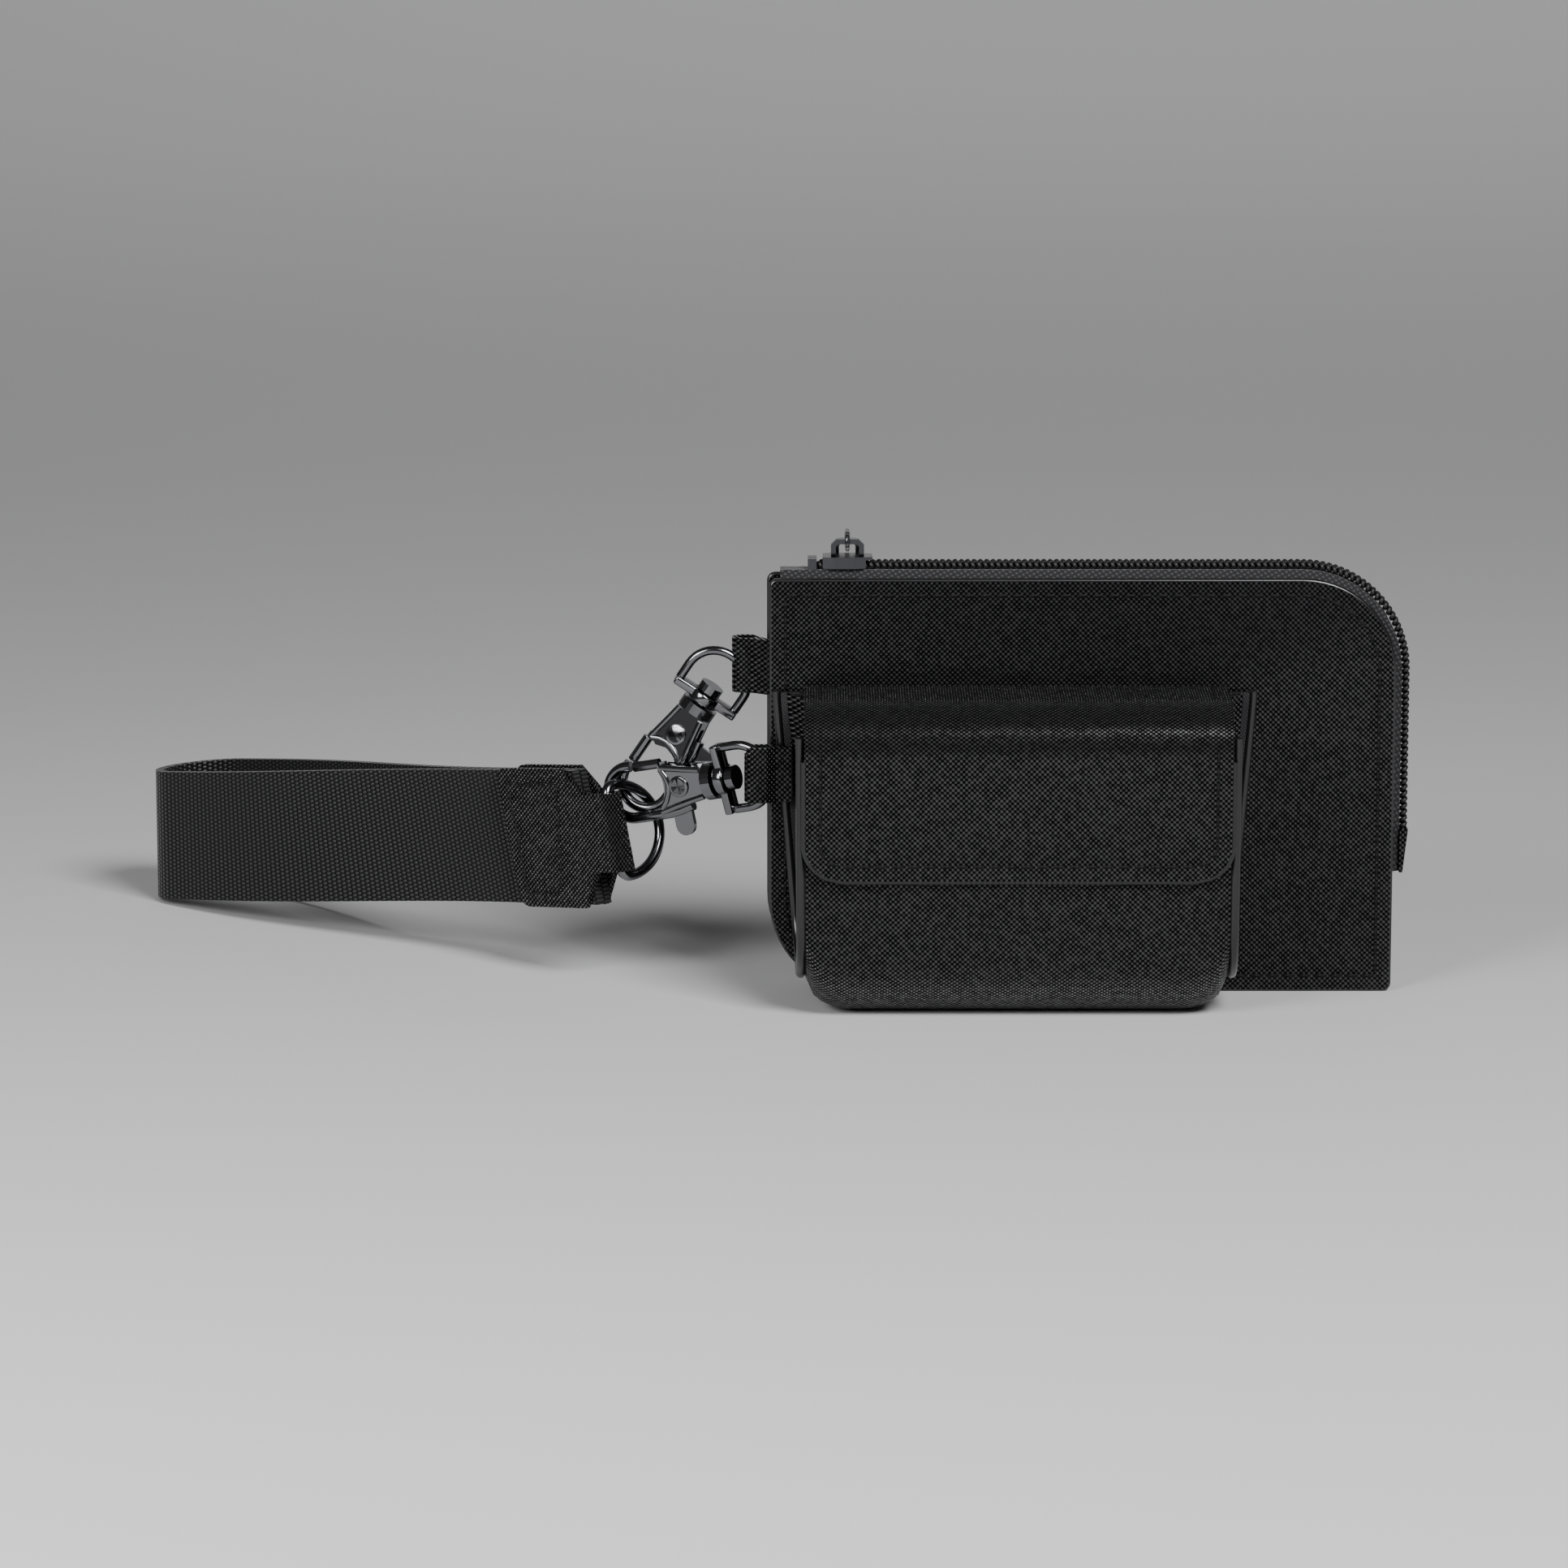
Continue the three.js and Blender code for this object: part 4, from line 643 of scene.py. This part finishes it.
def make_pouch():
    """The pouch's wrap with its lining, the folded gussets and the painted seam ridges."""
    bm = grid_surface(48, 72, wrap_place, -LEATHER, inner=2)
    wrap = new_object("pouch_wrap", bm, ["wrap", "paint", "lining"], 50)
    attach(wrap, "pouch")
    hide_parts("pouch_shell", "pouch_lining")
    for side, node in ((-1, "pouch_gusset_left"), (1, "pouch_gusset_right")):
        edge = (side + 1) / 2

        def place(u, v, side=side, edge=edge):
            front = wrap_place(edge, 0.5 * v)
            back = wrap_place(edge, 1 - 0.5 * v)
            at = front.lerp(back, u)
            fold = GUSSET_FOLD * math.sin(math.pi * u) ** 0.8 * (1 - v ** 3)
            at.x += -side * (SEAM_OUT + fold)
            at.y += GUSSET_TUCK * (1 - 2 * u)
            at.z += GUSSET_RISE * v
            return at

        bm = grid_surface(16, 30, place, -side * GUSSET, inner=0)
        gusset = new_object(node + "_leather", bm, ["gusset", "paint"], 60)
        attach(gusset, "pouch")
        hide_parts(node)
        off = Vector((side * SEAM_OUT, SEAM_BACK, 0))
        path = [wrap_place(edge, i / 60) + off for i in range(61)]
        ridge = tube("seam_ridge_" + ("left" if side < 0 else "right"), path, SEAM_RIDGE, "paint")
        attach(ridge, "pouch")


def flap_profile(w):
    """The flap's outer face at a length w from its back edge: over the top, then down the front."""
    r_back = FLAP_BACK_BEND
    r = FLAP_BEND
    start = math.pi / 4 * r_back
    flat = FLAP_BACK - FLAP_FACE - r - r_back * COS_45
    bend = math.pi / 2 * r
    if w < start:
        angle = math.pi / 4 + w / r_back
        y = FLAP_BACK - r_back * COS_45 + r_back * math.cos(angle)
        return y, FLAP_TOP - r_back + r_back * math.sin(angle)
    w -= start
    if w < flat:
        return FLAP_BACK - r_back * COS_45 - w, FLAP_TOP
    w -= flat
    if w < bend:
        return FLAP_FACE + r - r * math.sin(w / r), FLAP_TOP - r + r * math.cos(w / r)
    return FLAP_FACE, FLAP_TOP - r - (w - bend)


FLAP_LENGTH = (math.pi / 4 * FLAP_BACK_BEND + FLAP_BACK - FLAP_FACE - FLAP_BEND - FLAP_BACK_BEND * COS_45
               + math.pi / 2 * FLAP_BEND + FLAP_DROP - FLAP_BEND)


def flap_place(u, v, inset=0.0, out=0.0):
    """A point of the flap: u across, v along, its lower corners rounded."""
    across = 2 * u - 1
    radius = FLAP_CORNER
    w = inset + v * (FLAP_LENGTH - 2 * inset)
    half = FLAP_HALF - inset
    past = max(w - (FLAP_LENGTH - inset - (radius - inset)), 0)
    r = radius - inset
    half += -r + math.sqrt(max(r * r - past * past, 0)) if past > 0 else 0
    y, z = flap_profile(w)
    return Vector((POUCH_MIDDLE + across * half, y - out, z))


def make_flap(settings):
    """The flap: one piece of leather from the back edge over the top, stitched near its edge."""
    bm = grid_surface(40, 64, flap_place, -LEATHER, inner=2)
    flap = new_object("pouch_flap", bm, ["flap", "paint", "lining"], 50)
    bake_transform(flap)
    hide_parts("pouch_flap_top", "pouch_flap_front")
    inset = FLAP_STITCH_INSET
    left = [flap_place(0, i / 80, inset) for i in range(81)]
    right = [flap_place(1, 1 - i / 80, inset) for i in range(81)]
    front = [p for p in left + right if p.z < FRONT_STITCHES_BELOW]
    sew("flap_stitches_front", [(front, False)], settings, "flap_front")
    rim = [flap_place(0, i / 80, out=-LEATHER / 2) for i in range(81)]
    rim += [flap_place(1, 1 - i / 80, out=-LEATHER / 2) for i in range(81)]
    bead = tube("flap_edge_paint", [p for p in rim if p.z < BEAD_BELOW], FLAP_BEAD, "rim")
    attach(bead, "flap_front")
    top = [([p for p in side if p.y > TOP_STITCHES_BEHIND], False) for side in (left, right)]
    sew("flap_stitches_top", top, settings, "flap_top")


def strap_height(distance):
    """Height of the strap's middle line, falling evenly to the floor at its far end."""
    return STRAP_START - STRAP_SLOPE * distance


def webbing_path():
    """The loop of webbing in plan, out on one side and back on the other: (along the strap, sideways)."""
    end = STRAP_LENGTH - WEBBING / 2 - LOOP_END_RADIUS
    out = []
    for i in range(61):
        distance = WEBBING_START + (end - WEBBING_START) * i / 60
        part = min(max((distance - WEBBING_PARTS) / (end - WEBBING_PARTS), 0), 1)
        part = part ** 3 * (part * (part * 6 - 15) + 10)
        out.append((distance, PLY_MIDDLE + (LOOP_END_RADIUS - PLY_MIDDLE) * part))
    turn = arc(end, 0, LOOP_END_RADIUS, 84, -84, 28)
    return out + turn + [(d, -s) for d, s in reversed(out)]


def make_webbing():
    """The wrist loop of flat nylon webbing."""
    plan = webbing_path()
    flat = [RING.xy.to_3d() + STRAP_OUT * d + STRAP_SIDE * s for d, s in plan]
    lengths = [0.0]
    for a, b in zip(flat, flat[1:]):
        lengths.append(lengths[-1] + (b - a).length)

    def place(u, v):
        i = min(int(round(u * (len(plan) - 1))), len(plan) - 1)
        a, b = flat[max(i - 1, 0)], flat[min(i + 1, len(flat) - 1)]
        normal = Vector((0, 0, 1)).cross((b - a).normalized())
        d = plan[i][0]
        part = min(max((d - END_LENGTH) / (STRAP_LENGTH - END_LENGTH), 0), 1)
        up = (Vector((0, 0, 1)) + STRAP_OUT * STRAP_LEAN * (1 - part * part * (3 - 2 * part))).normalized()
        middle = Vector((flat[i].x, flat[i].y, strap_height(d)))
        at = middle + up * ((v - 0.5) * WEBBING_WIDTH) - normal * (WEBBING / 2)
        return at, (lengths[i], v * WEBBING_WIDTH)

    bm = grid_surface(len(plan) - 1, 8, place, WEBBING, inner=0, uv="strap")
    loop = new_object("webbing_wrist_loop", bm, ["webbing", "webbing"], 50)
    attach(loop, "strap")
    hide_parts("webbing_loop")


def make_strap_stitches(settings):
    """The box of stitches that closes the strap's leather end over the webbing."""
    x = (STRAP_OUT - Vector((0, 0, STRAP_SLOPE))).normalized()
    across = STRAP_UP.cross(x).normalized()
    rows = []
    for side in (1, -1):
        face = RING + across * side * END_FACE
        rows.append(([face + (x * a + STRAP_UP * b) * MM for a, b in END_STITCHES], True))
    sew("strap_end_stitches", rows, settings, "strap")


def placed(matrix, points, height=0.0):
    """Points of a plane, in millimetres, at a height in a piece's own frame."""
    return [matrix @ (Vector((a, b, height)) * MM) for a, b in points]


def make_ring():
    """The D-ring: round wire with its bar in the strap's leather end."""
    x = Vector((math.cos(RING_YAW), math.sin(RING_YAW), 0))
    x = (x - STRAP_UP * x.dot(STRAP_UP)).normalized()
    corner, half = RING_CORNER, RING_HALF
    bow = [(corner + (RING_DEPTH - corner) * a, half * b) for a, b in arc(0, 0, 1, 90, -90, 36)]
    bar = arc(corner, -half + corner, corner, 255, 180, 6) + arc(corner, half - corner, corner, 180, 105, 6)
    points = [RING + (x * a + STRAP_UP * b) * MM for a, b in bar + bow]
    ring = tube("d_ring_wire", points, RING_WIRE * MM, "metal", closed=True, resolution=6)
    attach(ring, "ring")
    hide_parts("d_ring")


def clasp_frame(bar, tip, swivel):
    """A clasp's own frame: X from its bar to its hook's tip, Z away from the front."""
    x = (Vector(tip) - Vector(bar)).normalized()
    z = (Vector((0, 1, 0)) - x * x.y).normalized()
    y = z.cross(x)
    turn = Matrix((x, y, z)).transposed().to_4x4()
    return Matrix.Translation(Vector(bar) * MM) @ turn @ Matrix.Rotation(math.radians(swivel), 4, "X")


def add_disc(bm, matrix, radius, length, sides, ease):
    """Adds a short cylinder with eased rims, its sizes in millimetres."""
    made = bmesh.ops.create_cone(bm, cap_ends=True, segments=sides, radius1=radius * MM,
                                 radius2=radius * MM, depth=length * MM, matrix=matrix)
    rims = {e for v in made["verts"] for e in v.link_edges if any(len(f.verts) > 8 for f in e.link_faces)}
    bevel(bm, list(rims), ease * MM, 2)


def make_clasp_loop(name, still):
    """A clasp's loop: its bent wire, with a flat bar and a boss at the hook's end."""
    near, far, half = LOOP_NEAR_CORNER, LOOP_FAR_CORNER, LOOP_HALF
    side = arc(LOOP_LENGTH - far, half - far, far, 0, 90, 4) + arc(near, half - near, near, 90, 180, 10)
    points = placed(still, [(a, -b) for a, b in reversed(side)] + side)
    wire = tube(name + "_loop_wire", points, LOOP_WIRE * MM, "metal", closed=True, resolution=6)
    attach(wire, name + "_loop")
    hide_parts(name + "_clasp_loop")
    bm = bmesh.new()
    size = Matrix.Diagonal((*CROSS_BAR * MM, 1))
    bmesh.ops.create_cube(bm, size=1, matrix=still @ Matrix.Translation((LOOP_LENGTH * MM, 0, 0)) @ size)
    bevel(bm, bm.edges[:], 0.35 * MM, 3)
    lengthways = Matrix.Rotation(math.radians(90), 4, "Y")
    middle = still @ Matrix.Translation((BOSS_MIDDLE * MM, 0, 0)) @ lengthways
    add_disc(bm, middle, BOSS_RADIUS, BOSS_LENGTH, 36, 0.3)
    cross = new_object(name + "_loop_cross_bar", bm, ["metal"], 50)
    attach(cross, name + "_loop")


def make_clasp_hook(name, turned):
    """A clasp's hook: its smooth wire, the raised rails of both faces and the rivet's collars."""
    wire = HOOK_SHANK + arc(HOOK_CENTRE, 0, HOOK_RADIUS, -90, 100, 30)
    cover = tube(name + "_hook_wire", placed(turned, wire), HOOK_WIRE * MM, "metal", resolution=6)
    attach(cover, name + "_hook")
    for face, word in ((-1, "front"), (1, "back")):
        for number, rail in enumerate(RAILS):
            points = placed(turned, rail, face * RAIL_FACE)
            ridge = tube(f"{name}_hook_rail_{word}_{number + 1}", points, RAIL * MM, "metal")
            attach(ridge, name + "_hook")
        bm = bmesh.new()
        collar = turned @ Matrix.Translation(Vector((PIN_AT, 0, face * COLLAR_FACE)) * MM)
        add_disc(bm, collar, COLLAR_RADIUS, COLLAR_LENGTH, 32, 0.15)
        rivet = new_object(f"{name}_pin_collar_{word}", bm, ["metal"], 50)
        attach(rivet, name + "_hook")


def make_clasps():
    """Both swivel clasps: loops, hooks, rails and collars."""
    for name, (bar, tip, swivel) in CLASPS.items():
        make_clasp_loop(name, clasp_frame(bar, tip, 0))
        make_clasp_hook(name, clasp_frame(bar, tip, swivel))


# ---------------------------------------------------------------- the nodes that keep their shape
NODE_MATERIALS = {
    "strap_end_leather": "strap_end", "wallet_tab": "tab", "pouch_tab": "tab", "zip_end_patch": "panel",
    "wallet_edge_welt": "paint", "card_pocket": "lining",
    "wallet_front_lining": "lining", "wallet_back_lining": "lining",
    "zip_tape_front": "tape", "zip_tape_back": "tape",
    "zip_slider": "dark_metal", "zip_pull_link": "dark_metal",
    "zip_top_stop_front": "dark_metal", "zip_top_stop_back": "dark_metal",
    "flap_magnet": "steel", "body_magnet": "steel",
}
REPLACED = {
    "wallet_front_panel", "wallet_back_panel", "zip_coil_front", "zip_coil_back",
    "pouch_shell", "pouch_lining", "pouch_gusset_left", "pouch_gusset_right",
    "pouch_flap_top", "pouch_flap_front", "webbing_loop", "d_ring", "upper_clasp_loop", "lower_clasp_loop",
}
SHARP_WORDS = ("spring", "lining", "magnet", "tape", "card_pocket")
WIRES = {"zip_pull_link"}

# The width of each eased edge in millimetres, where it isn't the usual one.
USUAL_EASE = 0.16
EASED = {
    "strap_end_leather": 0.12, "wallet_tab": 0.25, "pouch_tab": 0.25, "zip_end_patch": 0.25,
    "zip_pull": 0.22, "zip_slider": 0.15,
}


def dress_nodes():
    """Gives every node that keeps its shape its finish, and eases the edges of the hardware."""
    for name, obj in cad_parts.items():
        if name in REPLACED:
            continue
        finish = MATERIALS[NODE_MATERIALS.get(name, "metal")]
        for slot in obj.material_slots:
            slot.link = "OBJECT"
            slot.material = finish
        if any(word in name for word in SHARP_WORDS):
            continue
        if name in WIRES:
            soft = obj.modifiers.new("rounded wire", "SUBSURF")
            soft.levels = 1
            soft.render_levels = 1
            continue
        ease = obj.modifiers.new("eased edges", "BEVEL")
        ease.width = EASED.get(name, USUAL_EASE) * MM
        ease.segments = 2
        ease.limit_method = "ANGLE"
        ease.angle_limit = math.radians(42)
        ease.harden_normals = False


# ---------------------------------------------------------------- stage
SWEEP_WIDTH = 10
SWEEP_LENGTH = 9
SWEEP_FRONT = -2.5
SWEEP_FLAT = 4
SWEEP_BEND = 1.6

# Each light: where it hangs, what it aims at, its size in metres and its power in watts.
LIGHTS = {
    "key_light": ((0.36, -0.72, 0.78), (-0.03, -0.32, 0), 0.42, 15),
    "fill_light": ((-0.42, -0.5, 0.34), (-0.05, 0, 0.04), 0.3, 3.4),
    "back_light": ((0.2, 1.3, 2.1), (0.1, 3.2, 1.2), 1.2, 30),
}
WORLD_STRENGTH = 0.13
CAMERA_AIM = Vector((-54.1, 0, 37.7)) * MM
CAMERA_TILT = math.radians(11)
CAMERA_DISTANCE = 1.2
LENS = 151


def sweep_profile(along):
    """The paper's section: flat on the floor, then bent up into an upright."""
    flat_end = SWEEP_FRONT + SWEEP_FLAT
    past = along - SWEEP_FLAT
    bend = SWEEP_BEND * math.pi / 2
    if past < 0:
        return along + SWEEP_FRONT, 0
    if past < bend:
        turn = past / SWEEP_BEND
        return flat_end + SWEEP_BEND * math.sin(turn), SWEEP_BEND - SWEEP_BEND * math.cos(turn)
    return flat_end + SWEEP_BEND, SWEEP_BEND + past - bend


def make_sweep():
    """The pale paper under and behind the set."""
    bm = bmesh.new()
    bmesh.ops.create_grid(bm, x_segments=1, y_segments=60, size=0.5)
    for vert in bm.verts:
        y, z = sweep_profile((vert.co.y + 0.5) * SWEEP_LENGTH)
        vert.co = Vector((vert.co.x * SWEEP_WIDTH, y, z))
    mesh = bpy.data.meshes.new("studio_sweep")
    bm.to_mesh(mesh)
    bm.free()
    mesh.shade_smooth()
    # Matt paper shows only the soft shadows of the set.
    paper = surface("studio paper", to_linear("#c9c9ca"), 0.85, specular=0.2)[0]
    mesh.materials.append(paper)
    sweep = bpy.data.objects.new("studio_sweep", mesh)
    bpy.context.scene.collection.objects.link(sweep)
    return sweep


def make_stage():
    """The sweep, soft studio lights and the camera."""
    scene = bpy.context.scene
    sweep = make_sweep()
    for name, (at, aim, size, power) in LIGHTS.items():
        lamp = bpy.data.lights.new(name, "AREA")
        lamp.shape = "SQUARE"
        lamp.size = size
        lamp.energy = power
        holder = bpy.data.objects.new(name, lamp)
        holder.location = at
        holder.rotation_euler = (Vector(at) - Vector(aim)).to_track_quat("Z", "Y").to_euler()
        scene.collection.objects.link(holder)
    world = bpy.data.worlds.new("studio")
    world.use_nodes = True
    background = world.node_tree.nodes["Background"]
    background.inputs["Color"].default_value = to_linear("#c4c4c4")
    background.inputs["Strength"].default_value = WORLD_STRENGTH
    scene.world = world
    camera = bpy.data.cameras.new("camera")
    camera.lens = LENS
    camera.sensor_width = 36
    camera.clip_start = 0.05
    camera.clip_end = 60
    camera.dof.use_dof = False
    viewer = bpy.data.objects.new("camera", camera)
    away = Vector((0, -math.cos(CAMERA_TILT), math.sin(CAMERA_TILT)))
    viewer.location = CAMERA_AIM + away * CAMERA_DISTANCE
    viewer.rotation_euler = away.to_track_quat("Z", "Y").to_euler()
    scene.collection.objects.link(viewer)
    scene.camera = viewer


# ---------------------------------------------------------------- operators
class WRISTLET_OT_stage(bpy.types.Operator):
    """Makes the sweep, the lights and the camera"""

    bl_idname = "wristlet.stage"
    bl_label = "Studio Stage"
    bl_options = {"REGISTER", "UNDO"}

    def execute(self, context):
        make_stage()
        return {"FINISHED"}


class WRISTLET_OT_materials(bpy.types.Operator):
    """Makes the materials"""

    bl_idname = "wristlet.materials"
    bl_label = "Finishes"
    bl_options = {"REGISTER", "UNDO"}

    def execute(self, context):
        make_materials(context.scene.wristlet)
        return {"FINISHED"}


class WRISTLET_OT_wallet(bpy.types.Operator):
    """Makes the wallet's leather panels and stitches"""

    bl_idname = "wristlet.wallet"
    bl_label = "Wallet Panels"
    bl_options = {"REGISTER", "UNDO"}

    def execute(self, context):
        make_wallet(context.scene.wristlet)
        return {"FINISHED"}


class WRISTLET_OT_coils(bpy.types.Operator):
    """Makes the zip's two coils"""

    bl_idname = "wristlet.coils"
    bl_label = "Zip Coils"
    bl_options = {"REGISTER", "UNDO"}

    def execute(self, context):
        make_coils(context.scene.wristlet)
        return {"FINISHED"}


class WRISTLET_OT_pouch(bpy.types.Operator):
    """Makes the pouch's wrap, gussets and seam ridges"""

    bl_idname = "wristlet.pouch"
    bl_label = "Pouch"
    bl_options = {"REGISTER", "UNDO"}

    def execute(self, context):
        make_pouch()
        return {"FINISHED"}


class WRISTLET_OT_flap(bpy.types.Operator):
    """Makes the pouch's flap, its stitches and its painted edge"""

    bl_idname = "wristlet.flap"
    bl_label = "Pouch Flap"
    bl_options = {"REGISTER", "UNDO"}

    def execute(self, context):
        make_flap(context.scene.wristlet)
        return {"FINISHED"}


class WRISTLET_OT_webbing(bpy.types.Operator):
    """Makes the webbing wrist loop"""

    bl_idname = "wristlet.webbing"
    bl_label = "Webbing Loop"
    bl_options = {"REGISTER", "UNDO"}

    def execute(self, context):
        make_webbing()
        return {"FINISHED"}


class WRISTLET_OT_strap_end(bpy.types.Operator):
    """Makes the stitches of the strap's leather end"""

    bl_idname = "wristlet.strap_end"
    bl_label = "Strap End"
    bl_options = {"REGISTER", "UNDO"}

    def execute(self, context):
        make_strap_stitches(context.scene.wristlet)
        return {"FINISHED"}


class WRISTLET_OT_ring(bpy.types.Operator):
    """Makes the D-ring"""

    bl_idname = "wristlet.ring"
    bl_label = "D-Ring"
    bl_options = {"REGISTER", "UNDO"}

    def execute(self, context):
        make_ring()
        return {"FINISHED"}


class WRISTLET_OT_clasps(bpy.types.Operator):
    """Makes the clasps' loops, and the wires, rails and collars of their hooks"""

    bl_idname = "wristlet.clasps"
    bl_label = "Clasps"
    bl_options = {"REGISTER", "UNDO"}

    def execute(self, context):
        make_clasps()
        return {"FINISHED"}


class WRISTLET_OT_hardware(bpy.types.Operator):
    """Gives the other pieces their finishes and eased edges"""

    bl_idname = "wristlet.hardware"
    bl_label = "Hardware"
    bl_options = {"REGISTER", "UNDO"}

    def execute(self, context):
        dress_nodes()
        return {"FINISHED"}


OPERATORS = (
    WRISTLET_OT_stage, WRISTLET_OT_materials, WRISTLET_OT_wallet, WRISTLET_OT_coils, WRISTLET_OT_pouch,
    WRISTLET_OT_flap, WRISTLET_OT_webbing, WRISTLET_OT_strap_end, WRISTLET_OT_ring, WRISTLET_OT_clasps,
    WRISTLET_OT_hardware,
)


class WRISTLET_PT_panel(bpy.types.Panel):
    """Buttons, sizes and colours of the wristlet set"""

    bl_label = "Wristlet Set"
    bl_idname = "WRISTLET_PT_panel"
    bl_space_type = "VIEW_3D"
    bl_region_type = "UI"
    bl_category = "Wristlet"

    def draw(self, context):
        settings = context.scene.wristlet
        for name in ("grain", "stitch", "thread", "coil", "rib", "leather", "strap", "plating"):
            self.layout.prop(settings, name)
        for operator in OPERATORS:
            self.layout.operator(operator.bl_idname)


CLASSES = (WristletSettings, *OPERATORS, WRISTLET_PT_panel)


def register():
    for cls in CLASSES:
        bpy.utils.register_class(cls)
    bpy.types.Scene.wristlet = bpy.props.PointerProperty(type=WristletSettings)


def unregister():
    del bpy.types.Scene.wristlet
    for cls in reversed(CLASSES):
        bpy.utils.unregister_class(cls)


def main():
    register()
    bpy.ops.wristlet.stage()
    bpy.ops.wristlet.materials()
    bpy.ops.wristlet.wallet()
    bpy.ops.wristlet.coils()
    bpy.ops.wristlet.pouch()
    bpy.ops.wristlet.flap()
    bpy.ops.wristlet.webbing()
    bpy.ops.wristlet.strap_end()
    bpy.ops.wristlet.ring()
    bpy.ops.wristlet.clasps()
    bpy.ops.wristlet.hardware()


if __name__ == "__main__":
    main()
